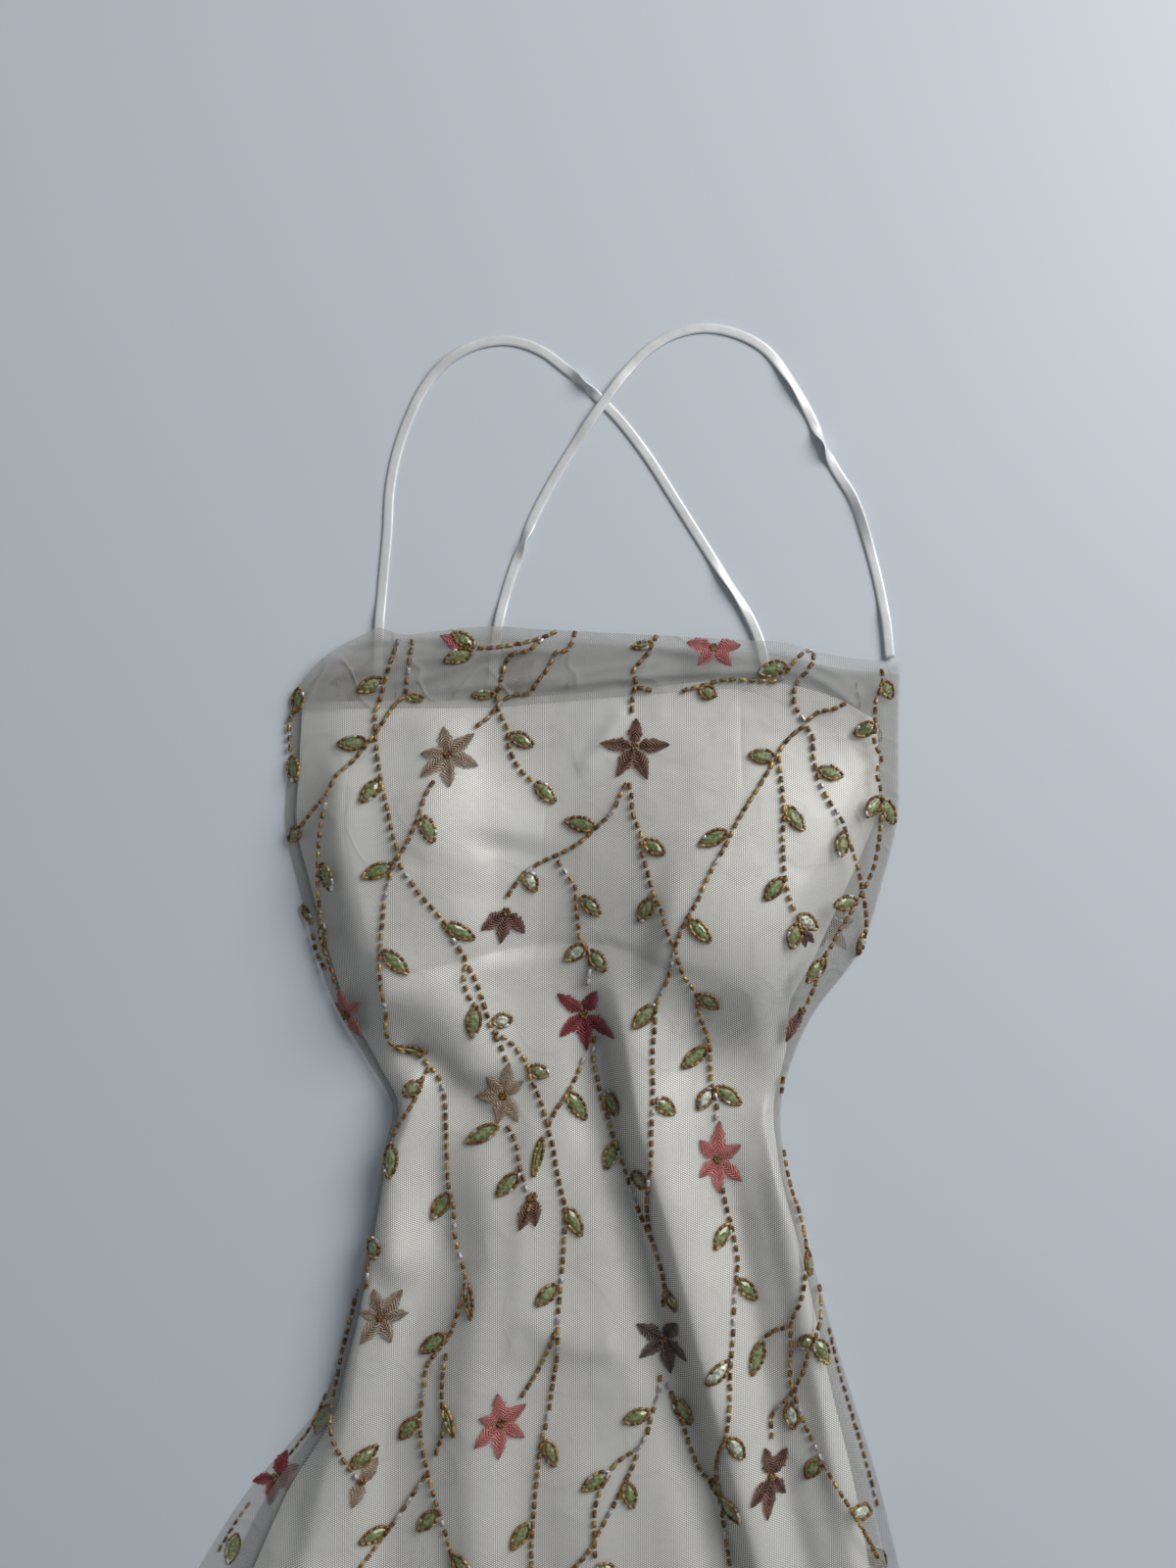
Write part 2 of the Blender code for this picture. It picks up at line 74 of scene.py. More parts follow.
def through(*stations):
    """A smooth function through (where, value) stations, level beyond the first and the last."""
    where, value = np.array(stations, float).T
    slope = np.gradient(value, where)

    def at(place):
        place = np.clip(place, where[0], where[-1])
        i = np.clip(np.searchsorted(where, place) - 1, 0, len(where) - 2)
        run = where[i + 1] - where[i]
        t = (place - where[i]) / run
        start, end = value[i], value[i + 1]
        rise = (2 * t**3 - 3 * t**2 + 1) * start + (3 * t**2 - 2 * t**3) * end
        lean = (t**3 - 2 * t**2 + t) * slope[i] + (t**3 - t**2) * slope[i + 1]
        return rise + run * lean

    return at


def evenly(count):
    """Evenly spaced shares from 0 to 1."""
    return np.linspace(0.0, 1.0, count)


def smooth(t):
    t = np.clip(t, 0.0, 1.0)
    return t * t * (3 - 2 * t)


# (drop, x) down each side of the back net, which is the widest layer.
back_left = through(
    (4.4, -16.6), (8.8, -16.9), (13.3, -17.1), (16.3, -16.4), (20.2, -15.4), (25, -13.7),
    (28.5, -11.6), (31.5, -10), (34, -10.5), (37.5, -11.1), (42.8, -12.1), (48.2, -13.5),
    (51.2, -14.8), (56.9, -19.6), (62.1, -22.9), (70, -26.8), (82, -30.5), (100, -33.6),
    (NECK_TO_HEM, -HEM_HALF_WIDTH),
)
back_right = through(
    (2.1, 23.6), (8, 23.5), (12, 23.5), (16, 22.6), (21.5, 20.7), (25.4, 17.8),
    (28, 16.6), (31.5, 15.7), (35, 16), (41.2, 17.7), (48.6, 19.8), (56, 22.1),
    (62.1, 23.6), (72, 26), (85, 28.7), (105, 32.2), (NECK_TO_HEM, HEM_HALF_WIDTH),
)
# How far in from that each front layer's side edge lies, at a drop.
net_in_left = through(
    (30, 0), (44, 0), (48, 0.05), (54, 1), (60, 1.9), (80, 1.2), (NECK_TO_HEM, 0.6),
)
net_in_right = through((30, 0), (42, 0.1), (48, 0.4), (60, 0.8), (NECK_TO_HEM, 0.6))
satin_in_left = through(
    (4.4, 0.7), (28, 0.7), (32, 0.4), (44, 0.4), (48, 0.5), (54, 1.9), (58, 2.9), (62, 3.6),
    (80, 3), (NECK_TO_HEM, 2),
)
satin_in_right = through(
    (4.4, 1.5), (12, 1.5), (15, 2), (21.5, 2.8), (24, 2.3), (27, 0.9), (32, 0.5), (40, 0.6),
    (46, 0.9), (52, 1.4), (60, 1.9), (NECK_TO_HEM, 2),
)
# (x, drop) along the edges and the seam that cross the gown.
net_top = through(
    (-16.6, 4.3), (-15.4, 2.6), (-14, 1.4), (-12, 0.3), (-10.9, -0.2), (-9.5, 0.2),
    (-7, 0), (-4, -0.3), (0, -0.1), (6, 0.2), (13, 0.6), (16, 0.8), (18, 1.4),
    (23.6, 2.1),
)
satin_top = through(
    (-16.6, 4.7), (-10, 4.6), (-2.5, 4.5), (1, 4.2), (6, 3.8), (15.3, 3.4), (19.2, 4.4),
    (22, 5.8), (23.6, 6.2),
)
bust_seam = through(
    (-16.6, 24.3), (-13, 23.8), (-9, 22.5), (-5, 21.5), (0.5, 20.6), (4.3, 20.6),
    (8.2, 22.1), (12.3, 22.8), (16, 23.1), (20, 23.3),
)
hem_lift = through((-HEM_HALF_WIDTH, 3.4), (-24, 1.2), (0, 0), (24, 1.2), (HEM_HALF_WIDTH, 3.4))


def net_left(drop):
    return back_left(drop) + net_in_left(drop)


def net_right(drop):
    return back_right(drop) - net_in_right(drop)


def satin_left(drop):
    return back_left(drop) + satin_in_left(drop)


def satin_right(drop):
    return back_right(drop) - satin_in_right(drop)


def net_hem(x):
    return NECK_TO_HEM - hem_lift(x)


SATIN_HEM_LIFT = 1.4  # cm, the lining is this much shorter than the net


def satin_hem(x):
    return net_hem(x) - SATIN_HEM_LIFT


# ---------------------------------------------------------------- folds, creases and cups
# Each fold: height in mm (a trough is negative), half width in cm on its left and on its right,
# and its crest as (x, drop). It fades out at both ends, or runs on to the hem.
FOLDS = (
    # down the left side of the bodice
    (3.5, 1.1, 1.6, ((-13.5, 7.5), (-13.2, 12), (-12.6, 17), (-11.4, 21.5), (-10.7, 25))),
    # slack cloth below the left cup, and the fold under it
    (-0.9, 1.2, 1.2, ((-9.2, 15), (-7, 14.3), (-4.5, 13.9), (-2, 14.4))),
    (-1, 1.2, 1.2, ((-9.4, 17.8), (-6.5, 17), (-3.5, 17.2), (-1, 18.6))),
    (9, 2.3, 2.5, ((-12, 23.2), (-8.8, 23.8), (-6.4, 25), (-4.6, 27.2), (-3.6, 30.4))),
    (-4, 2.4, 0.9, ((-9.8, 27.2), (-7.4, 28.4), (-5.2, 30.4), (-3.4, 32.6))),
    (3.5, 1.6, 2.6, ((-7.4, 4.6), (-7.2, 8), (-7.6, 12), (-8.2, 15.5))),
    # between the cups
    (-4, 1.5, 3.2, ((-2.4, 13), (-2.9, 16), (-2.9, 19), (-2.4, 22))),
    (2, 0.5, 0.6, ((5.6, 4.8), (4.2, 6.8), (2.2, 9.5))),
    # under the bust seam
    (-1.3, 0.5, 0.5, ((-13, 23.9), (-9, 22.6), (-5, 21.6), (0.5, 20.7), (4.3, 20.7), (8.2, 22.2),
                      (12.3, 22.9))),
    # below the right cup
    (9.5, 3, 4.8, ((6, 20.4), (9, 21.1), (12, 22.1), (15, 23.8), (16.4, 25.6))),
    (-5.5, 3, 2.6, ((8.5, 26), (11.5, 27.8), (14, 29.4), (15.8, 30.8))),
    # the skirt, from left to right
    (9, 1.2, 1.6, ((-7.8, 27.4), (-9, 31.5), (-9.8, 36), (-9.7, 40), (-9.5, 43.5))),
    (8, 1.2, 3.4, ((-10.2, 37), (-11.2, 42), (-12.2, 47), (-13.2, 52), (-14.6, 58), (-16.2, 66),
                   (-18, 95), (-19.5, 136))),
    (-5, 1.2, 2.2, ((-7.2, 30.5), (-7.2, 36), (-7.2, 41), (-8.4, 46), (-10, 51), (-10.2, 58), (-10.6, 64),
                    (-12, 95), (-13, 136))),
    (8, 1.8, 2.4, ((-3.7, 31.5), (-3.5, 37), (-3.4, 42), (-4.2, 47), (-4.7, 52), (-4.1, 62), (-3, 95),
                   (-2, 136))),
    (4, 1, 2.6, ((-0.4, 31), (-1.1, 38), (-1.2, 43), (-2, 49))),
    (3, 0.9, 2.4, ((-1.6, 44.2), (0.6, 46.2), (2.8, 47), (5.4, 46.8))),
    (4, 2.4, 2.4, ((1.8, 50), (2.6, 60), (4.5, 85), (6, 136))),
    (-11, 1.7, 1, ((2, 21.5), (3, 25.5), (3.8, 30), (4.8, 34.5), (6.1, 39.5), (7.4, 45), (8.9, 50),
                   (10.4, 55), (11.8, 60.5), (13.2, 66), (15, 95), (17, 136))),
    (17, 1.1, 2.8, ((4.5, 21), (5.2, 24.5), (5.8, 30), (7.1, 35), (8.5, 40), (9.8, 45), (11, 50),
                    (12.5, 55), (14.1, 61), (18, 85), (22.5, 136))),
    (-6, 1.1, 2.8, ((11, 49), (12.5, 55), (14.1, 61), (18, 85), (22.5, 136))),
    (-6.5, 1.8, 1.1, ((11.7, 32.5), (12.5, 38), (13.4, 43), (14.4, 49), (15.7, 56), (17.6, 64),
                      (21.4, 95), (26.5, 136))),
    (7, 1, 1.8, ((15, 31), (15.3, 36), (16.2, 41), (17.2, 46), (18.4, 51), (19.6, 56), (23, 75),
                 (30, 136))),
    # beyond the left side of the bodice's width
    (7, 2.6, 2.6, ((-15.5, 58), (-18.5, 68), (-22, 90), (-27.5, 136))),
    (-5, 2, 2, ((-13.5, 62), (-17, 85), (-22, 136))),
)
# Small folds of the net alone, where it stands above the satin.
BAND_FOLDS = (
    (1.8, 0.4, 0.32, ((-15, 3.2), (-11, 2.5), (-6.5, 1.7), (-2, 1.3), (3, 1.5))),
    (2, 0.36, 0.3, ((-10.5, 3.6), (-7, 2.9), (-5, 2.1), (-3, 1.4), (1, 0.8))),
    (1.8, 0.34, 0.3, ((-8.5, 4.1), (-4, 3.6), (0, 3.2), (4, 2.5), (9, 1.9))),
    (3.2, 0.34, 0.6, ((-3, 4), (2, 3.5), (8, 2.9), (13, 2.7), (17, 2.8), (19.8, 4.4), (23, 8.8))),
    (1.8, 0.36, 0.36, ((6, 0.9), (10, 1.5), (14, 1.9), (18, 2.4), (22, 3.2))),
    (1.6, 0.4, 0.4, ((15, 1.3), (18, 2.2), (21, 4.4), (23, 6.4))),
    (-1.8, 0.3, 0.3, ((-13.5, 1.5), (-10, 1), (-6, 0.9))),
    (1.5, 0.35, 0.35, ((19, 6), (20.4, 9), (21.2, 13), (20.6, 17.5))),
    (1.5, 0.35, 0.35, ((22.3, 4.5), (22, 9), (22.3, 13))),
)
# Each cup: height in mm, centre (x, drop) and half sizes across and down, in cm.
CUPS = (
    (19.0, (-8.8, 16.8), (10.8, 13.5)),
    (20.0, (12.0, 17.2), (13.5, 13.0)),
)
cloth_loft = through((0, 3), (4, 5), (12, 7), (31, 8), (62, 8.5), (NECK_TO_HEM, 6.5))
CREST_PIECES = 20
FADE_LENGTH = 7.0  # cm over which a long fold grows; a short one takes a sixth of its length
FOLD_REACH = 3.0  # half widths, beyond which a fold lifts nothing
LEAST_RISE = 2.0  # mm, rounds off the relief where a trough would take it below flat
# cm over which the front rises from its side seams, at a drop
edge_roll = through((10, 3.4), (22, 3.4), (31, 1.1), (50, 1), (62, 3), (NECK_TO_HEM, 3))


def smooth_line(points, pieces):
    """Evenly spaced points on a smooth line through the given ones."""
    points = np.array(points, float)
    along = np.concatenate([[0.0], np.cumsum(np.hypot(*np.diff(points, axis=0).T))])
    steps = np.linspace(0.0, along[-1], pieces + 1)
    return np.stack([through(*zip(along, column))(steps) for column in points.T], axis=-1)


def fold_height(x, drop, height, left_width, right_width, crest):
    """How much one fold lifts the cloth at each point, in mm."""
    line = smooth_line(crest, CREST_PIECES)
    reach = FOLD_REACH * max(left_width, right_width)
    low, high = line.min(axis=0) - reach, line.max(axis=0) + reach
    near = (x > low[0]) & (x < high[0]) & (drop > low[1]) & (drop < high[1])
    lift = np.zeros(x.shape)
    if not near.any():
        return lift
    place = np.stack([x[near], drop[near]], axis=-1)[:, None, :]
    start, run = line[:-1], np.diff(line, axis=0)
    share = np.clip(((place - start) * run).sum(-1) / (run**2).sum(-1), 0.0, 1.0)
    off = place - start - share[..., None] * run
    away = np.hypot(off[..., 0], off[..., 1])
    k = away.argmin(axis=1)
    rows = np.arange(len(k))
    side = run[k, 0] * off[rows, k, 1] - run[k, 1] * off[rows, k, 0]
    width = np.where(side > 0, left_width, right_width)
    t = (k + share[rows, k]) / CREST_PIECES
    length = np.hypot(*np.diff(line, axis=0).T).sum()
    quick = max(6.0, length / FADE_LENGTH)
    fade = smooth(quick * t)
    if crest[-1][1] < NECK_TO_HEM:
        fade = fade * smooth(quick * (1 - t))
    lift[near] = height * fade * np.exp(-((away[rows, k] / width) ** 2))
    return lift


def relief(x, drop):
    """Height of the front cloth above its flattest lie, in mm, before the side edges pull it down."""
    total = cloth_loft(drop)
    for fold in FOLDS:
        total = total + fold_height(x, drop, *fold)
    for height, (cx, cdrop), (across, down) in CUPS:
        r2 = ((x - cx) / across) ** 2 + ((drop - cdrop) / down) ** 2
        total = total + height * np.clip(1 - r2, 0, 1) ** 2
    return 0.5 * (total + np.sqrt(total**2 + LEAST_RISE**2))


def edge_rise(x, drop, left, right):
    """0 at the side edges and 1 where the cloth lies at its full height."""
    inside = np.minimum(x - left, right - x) / edge_roll(drop)
    return np.sin(0.5 * math.pi * np.clip(inside, 0.0, 1.0))


def satin_height(x, drop):
    return FRONT_SATIN_Z + edge_rise(x, drop, satin_left(drop), satin_right(drop)) * relief(x, drop)


def net_height(x, drop):
    rise = edge_rise(x, drop, net_left(drop), net_right(drop)) * relief(x, drop)
    to_satin = np.minimum(
        (x - net_left(drop)) / (satin_left(drop) - net_left(drop)),
        (net_right(drop) - x) / (net_right(drop) - satin_right(drop)),
    )
    for fold in BAND_FOLDS:
        rise = rise + fold_height(x, drop, *fold)
    return NET_EDGE_Z + np.clip(to_satin, 0.0, 1.0) * (FRONT_NET_Z - NET_EDGE_Z) + rise


def turning_height(x, drop):
    return net_height(x, drop) - TURNING_UNDER_NET


def back_net_height(x, drop):
    return np.full(x.shape, BACK_NET_Z)


def back_satin_height(x, drop):
    return np.full(x.shape, BACK_SATIN_Z)


def placed(x, drop, height):
    """Points of the gown in metres."""
    x, drop, height = np.broadcast_arrays(x, drop, height)
    return np.stack([x * CM, (NECK_Y - drop) * CM, height * MM], axis=-1)


NORMAL_STEP = 0.1  # cm


def normals(x, drop, height_of):
    """Directions square to the cloth at each point."""
    slope_x = (height_of(x + NORMAL_STEP, drop) - height_of(x - NORMAL_STEP, drop)) / (20 * NORMAL_STEP)
    slope_y = (height_of(x, drop - NORMAL_STEP) - height_of(x, drop + NORMAL_STEP)) / (20 * NORMAL_STEP)
    up = np.stack([-slope_x, -slope_y, np.ones_like(slope_x)], axis=-1)
    return up / np.linalg.norm(up, axis=-1, keepdims=True)


# ---------------------------------------------------------------- mesh helpers
def add_piece(name, vertices, faces, material, body="root"):
    """A mesh object of the gown, riding on its body."""
    mesh = bpy.data.meshes.new(name)
    mesh.from_pydata(vertices.tolist(), [], faces if isinstance(faces, list) else faces.tolist())
    mesh.polygons.foreach_set("use_smooth", [True] * len(mesh.polygons))
    mesh.materials.append(material)
    obj = bpy.data.objects.new(name, mesh)
    bpy.context.scene.collection.objects.link(obj)
    if body:
        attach(obj, body)
    return obj


def grid_faces(rows, columns, first=0):
    """Quads of a grid of points, facing up when rows run down the gown."""
    i = first + np.arange(rows * columns).reshape(rows, columns)
    return np.stack([i[1:, :-1], i[1:, 1:], i[:-1, 1:], i[:-1, :-1]], axis=-1).reshape(-1, 4)


def tube_faces(rings, sides):
    """Quads round a tube of rings of points, and its first and last rings."""
    i = np.arange(rings * sides).reshape(rings, sides)
    j = np.roll(i, -1, axis=1)
    return np.stack([i[:-1], j[:-1], j[1:], i[1:]], axis=-1).reshape(-1, 4), i[0], i[-1]


def lay_rows(left, right, start, end, down, across):
    """x and drop of a grid of points between two side edges and two crossing lines."""
    edges = []
    for side in (left, right):
        drop = 0.5 * (start(0.0) + end(0.0)) + 0.0 * down
        for _ in range(12):
            x = side(drop)
            drop = start(x) + down * (end(x) - start(x))
        edges.append(x)
    x = edges[0][:, None] + across * (edges[1] - edges[0])[:, None]
    drop = start(x) + down[:, None] * (end(x) - start(x))
    return x, drop


def cloth_panel(name, x, drop, height_of, material, node):
    """One cut piece of cloth, as a thin sheet on its solid's form."""
    points = placed(x, drop, height_of(x, drop))
    obj = add_piece(name, points.reshape(-1, 3), grid_faces(*x.shape), material)
    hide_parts(node)
    return obj


# ---------------------------------------------------------------- shader helpers
class Field:
    """A shader socket that takes part in plain arithmetic."""

    def __init__(self, recipe, output):
        self.recipe, self.output = recipe, output

    def maths(self, operation, *values):
        return self.recipe.add("ShaderNodeMath", {"operation": operation}, values)

    def __add__(self, other):
        return self.maths("ADD", self, other)

    def __sub__(self, other):
        return self.maths("SUBTRACT", self, other)

    def __rsub__(self, other):
        return self.maths("SUBTRACT", other, self)

    def __mul__(self, other):
        return self.maths("MULTIPLY", self, other)

    def __abs__(self):
        return self.maths("ABSOLUTE", self)

    def cosine(self):
        return self.maths("COSINE", self)

    def between(self, low, high):
        """0 below low, 1 above high and straight between."""
        values = {"Value": self, "From Min": low, "From Max": high}
        return self.recipe.add("ShaderNodeMapRange", {"clamp": True}, values)

    __radd__, __rmul__ = __add__, __mul__


class Recipe:
    """One material: a Principled shader, its constants and the nodes that feed it."""

    def __init__(self, name, **constants):
        self.material = bpy.data.materials.new(name)
        self.material.use_nodes = True
        self.tree = self.material.node_tree
        self.shader = self.tree.nodes["Principled BSDF"]
        for key, value in constants.items():
            self.shader.inputs[key.replace("_", " ").title().replace("Ior", "IOR")].default_value = value

    def add(self, kind, settings, values, output=0):
        """A node of any kind: its settings first, then its sockets' values or links."""
        node = self.tree.nodes.new(kind)
        for key, value in settings.items():
            if key == "stops":
                self.set_stops(node.color_ramp, value)
            else:
                setattr(node, key, value)
        for key, value in values.items() if isinstance(values, dict) else enumerate(values):
            if isinstance(value, Field):
                self.tree.links.new(value.output, node.inputs[key])
            else:
                node.inputs[key].default_value = value
        return Field(self, node.outputs[output])

    @staticmethod
    def set_stops(ramp, stops):
        while len(ramp.elements) < len(stops):
            ramp.elements.new(0.5)
        for element, (place, colour) in zip(ramp.elements, stops):
            element.position = place
            element.color = (*colour, 1.0)

    def feed(self, name, field):
        self.tree.links.new(field.output, self.shader.inputs[name])

    def place(self, scale=1.0):
        """Where a point of the object is, in metres times scale."""
        here = self.add("ShaderNodeTexCoord", {}, {}, "Object")
        return self.add("ShaderNodeVectorMath", {"operation": "SCALE"}, {0: here, "Scale": scale})

    def parts(self, vector):
        split = self.tree.nodes.new("ShaderNodeSeparateXYZ")
        self.tree.links.new(vector.output, split.inputs[0])
        return [Field(self, socket) for socket in split.outputs]

    def noise(self, scale, detail=2.0, where=None):
        return self.add(
            "ShaderNodeTexNoise", {}, {"Vector": where or self.place(), "Scale": scale, "Detail": detail}
        )

    def blend(self, factor, first, second):
        """A colour between two, which are colours or colour fields."""
        values = {0: factor, 6: self.colour(first), 7: self.colour(second)}
        return self.add("ShaderNodeMix", {"data_type": "RGBA"}, values, 2)

    @staticmethod
    def colour(value):
        return value if isinstance(value, Field) else (*value, 1.0)

    def creases(self, scale, width):
        """Thin wandering lines, 1 on the line and 0 away from it."""
        return 1.0 - abs(self.noise(scale, 1.0) - 0.5).between(0.0, width)

    def bump(self, height, depth, strength=1.0):
        """Raises the surface by the height field times depth, in metres."""
        field = self.add("ShaderNodeBump", {}, {"Strength": strength, "Distance": depth, "Height": height})
        self.feed("Normal", field)


def darker(colour, share):
    return tuple(share * part for part in colour)


WEAVE_PITCH = 0.0006  # m


def satin(name, tint):
    """Smooth woven satin: soft gloss, a fine weave and slight changes of tone."""
    recipe = Recipe(name, metallic=0.2, specular_ior_level=0.55)
    cloudy = recipe.noise(9.0, 3.0)
    recipe.feed("Base Color", recipe.blend(cloudy.between(0.35, 0.7), tint, darker(tint, 0.9)))
    recipe.feed("Roughness", recipe.noise(30.0) * 0.12 + 0.38)
    x, y, _ = recipe.parts(recipe.place(2 * math.pi / WEAVE_PITCH))
    weave = x.cosine() + y.cosine() * 0.5
    rumple = recipe.noise(12.0, 2.0) * 2.5 + recipe.noise(38.0, 3.0) + recipe.creases(11.0, 0.07) * 0.03
    recipe.bump(weave * 0.0015 + rumple, 0.002, 0.5)
    return recipe.material


NET_CELL = 0.0014  # m, from hole to hole
TURNED_NET_CELL = 0.00152  # m, the turned layer, which is stretched a little
HEX_ANGLES = (0.0, 2 * math.pi / 3, 4 * math.pi / 3)


def net(name, tint, thread_cover, hole_cover, cell=NET_CELL, fades_to=None):
    """Fine net: threads round six-sided holes, most of it see-through. It may thin out across x, in m."""
    recipe = Recipe(name, roughness=0.7, specular_ior_level=0.25, sheen_weight=0.1)
    x, y, _ = recipe.parts(recipe.place(4 * math.pi / math.sqrt(3) / cell))
    waves = [(x * math.cos(angle) + y * math.sin(angle)).cosine() for angle in HEX_ANGLES]
    hole = (waves[0] + waves[1] + waves[2]).between(-0.4, 1.3)
    creases = recipe.creases(22.0, 0.035)
    cover = thread_cover - hole * (thread_cover - hole_cover) + creases * 0.05
    if fades_to:
        cover = cover * (1.0 - recipe.parts(recipe.place())[0].between(*fades_to) * 0.75)
    recipe.feed("Alpha", cover)
    # Base colour: the given tint, which for the ivory net carries painted shade, with random changes of
    # tone.
    recipe.feed("Base Color", recipe.blend(recipe.noise(25.0, 3.0), tint, darker(tint, 0.86)))
    recipe.bump(recipe.noise(60.0, 2.0) + creases * 0.5, 0.0015, 0.7)
    return recipe.material


def bead_glass(name, dark, light, metal, roughness):
    """Lined glass beads whose tone changes from bead to bead."""
    recipe = Recipe(name, metallic=metal, roughness=roughness, specular_ior_level=0.35)
    tone = recipe.noise(420.0, 0.0)
    recipe.feed("Base Color", recipe.blend(tone.between(0.35, 0.65), dark, light))
    return recipe.material


def cut_stone(name, deep, pale):
    """Faceted stones with a foil back."""
    recipe = Recipe(name, metallic=0.1, roughness=0.3, coat_weight=0.5, coat_roughness=0.08)
    recipe.feed("Base Color", recipe.blend(recipe.noise(500.0, 1.0).between(0.38, 0.62), deep, pale))
    return recipe.material


STITCHES_ALONG = 9


def embroidery(name, root, tip):
    """Satin-stitched thread that runs slantwise out from each petal's middle."""
    recipe = Recipe(name, roughness=0.55, specular_ior_level=0.35, sheen_weight=0.08, sheen_roughness=0.35)
    where = recipe.add("ShaderNodeUVMap", {"uv_map": "petal"}, {})
    across, along, _ = recipe.parts(where)
    slant = along + abs(across - 0.5) * 0.5
    # The colour follows each stitch's wave as painted highlight on its crown and painted shade between
    # stitches, alongside the bump.
    thread = (slant * (2 * math.pi * STITCHES_ALONG)).cosine()
    # Darker along each petal's middle and lighter towards its edges: partly the thread's own darker core,
    # partly painted shade in the vein's crease and painted sheen on the two slants of stitches.
    thread_tone_and_painted_light = recipe.noise(220.0, 2.0) * 1.4 + along * 0.3 + thread * 0.4 + abs(across - 0.5) * 1.3
    recipe.feed("Base Color", recipe.blend(thread_tone_and_painted_light.between(0.75, 1.45), root, tip))
    recipe.bump(thread, 0.0005, 1.0)
    return recipe.material


# ---------------------------------------------------------------- the cloth
SATIN_TINT = (0.93, 0.925, 0.885)
STRAP_TINT = (0.77, 0.785, 0.785)
# The net is ivory; this tint is painted darker, a grey beige, as painted shade for the shadows its layers
# cast on one another and on the satin.
SHADED_NET_TINT = (0.47, 0.462, 0.43)
SEAM_SHARES = (0.09, 0.43, 0.76)  # the bodice's three seams, as shares of the satin's width
SEAM_WIDTH = 0.16  # cm
SEAM_DEPTH = 0.22  # mm
NET_ACROSS, NET_DOWN = 200, (34, 80, 330)
SATIN_ACROSS, SATIN_DOWN = 150, (70, 280)
BACK_ACROSS, BACK_DOWN = 60, 120
LEAST_COLUMNS = 24  # in the narrowest piece of the bodice
BACK_NET_LOWER = 0.7  # cm from the front net's top down to the back net's
SATIN_BACK_TOP = 6.2  # drop


def build_net_front(material):
    band, bodice, skirt = (evenly(n) for n in NET_DOWN)
    across = evenly(NET_ACROSS)
    parts = [
        lay_rows(net_left, net_right, net_top, satin_top, band[:-1], across),
        lay_rows(net_left, net_right, satin_top, bust_seam, bodice[:-1], across),
        lay_rows(net_left, net_right, bust_seam, net_hem, skirt, across),
    ]
    x, drop = (np.concatenate(arrays) for arrays in zip(*parts))
    obj = cloth_panel("net_front", x, drop, net_height, material, "overlay_front")


def build_net_back(material):
    down, across = evenly(BACK_DOWN), evenly(BACK_ACROSS)
    x, drop = lay_rows(back_left, back_right, lambda x: net_top(x) + BACK_NET_LOWER, net_hem, down, across)
    obj = cloth_panel("net_back", x, drop, back_net_height, material, "overlay_back")


turning_over_satin = through((11, 0.5), (14, 0.9), (17, 1.9), (20, 2.6), (23.6, 3.2))  # cm


def build_turning(material):
    """The front net's top, turned down inside, its edge just over the satin's top edge."""
    x, drop = lay_rows(
        satin_left, satin_right, net_top, lambda x: satin_top(x) + turning_over_satin(x),
        np.linspace(0, 1, NET_DOWN[0]), np.linspace(0, 1, NET_ACROSS),
    )
    obj = cloth_panel("neck_turning_net", x, drop, turning_height, material, "neck_turning")


def dipped_at_seams(seams):
    """The satin's height, lowered to a fine groove along the bodice's seams."""
    def height(x, drop):
        left, right = satin_left(drop), satin_right(drop)
        groove = sum(np.exp(-(((x - left - seam * (right - left)) / SEAM_WIDTH) ** 2)) for seam in seams)
        return satin_height(x, drop) - SEAM_DEPTH * groove

    return height


def build_satin_bodice(material):
    names = ("side_left", "cup_left", "cup_right", "side_right")
    bounds = (0.0, *SEAM_SHARES, 1.0)
    sizes = ((0.04, 0.19), (0.135, 0.175), (0.135, 0.185), (0.09, 0.19))
    down = evenly(SATIN_DOWN[0])
    for name, start, end, flat in zip(names, bounds[:-1], bounds[1:], sizes):
        columns = max(LEAST_COLUMNS, round(SATIN_ACROSS * (end - start)))
        across = start + (end - start) * smooth(evenly(columns))
        x, drop = lay_rows(satin_left, satin_right, satin_top, bust_seam, down, across)
        height_of = dipped_at_seams(SEAM_SHARES)
        obj = cloth_panel("satin_" + name, x, drop, height_of, material, "lining_" + name)


def build_satin_skirt(material):
    down, across = evenly(SATIN_DOWN[1]), evenly(SATIN_ACROSS)
    x, drop = lay_rows(satin_left, satin_right, bust_seam, satin_hem, down, across)
    obj = cloth_panel("satin_skirt", x, drop, satin_height, material, "lining_skirt")


def build_satin_back(material):
    down, across = evenly(BACK_DOWN), evenly(BACK_ACROSS)
    x, drop = lay_rows(
        satin_left, satin_right, lambda x: SATIN_BACK_TOP + 0.0 * x, satin_hem, down, across
    )
    obj = cloth_panel("satin_back", x, drop, back_satin_height, material, "lining_back")


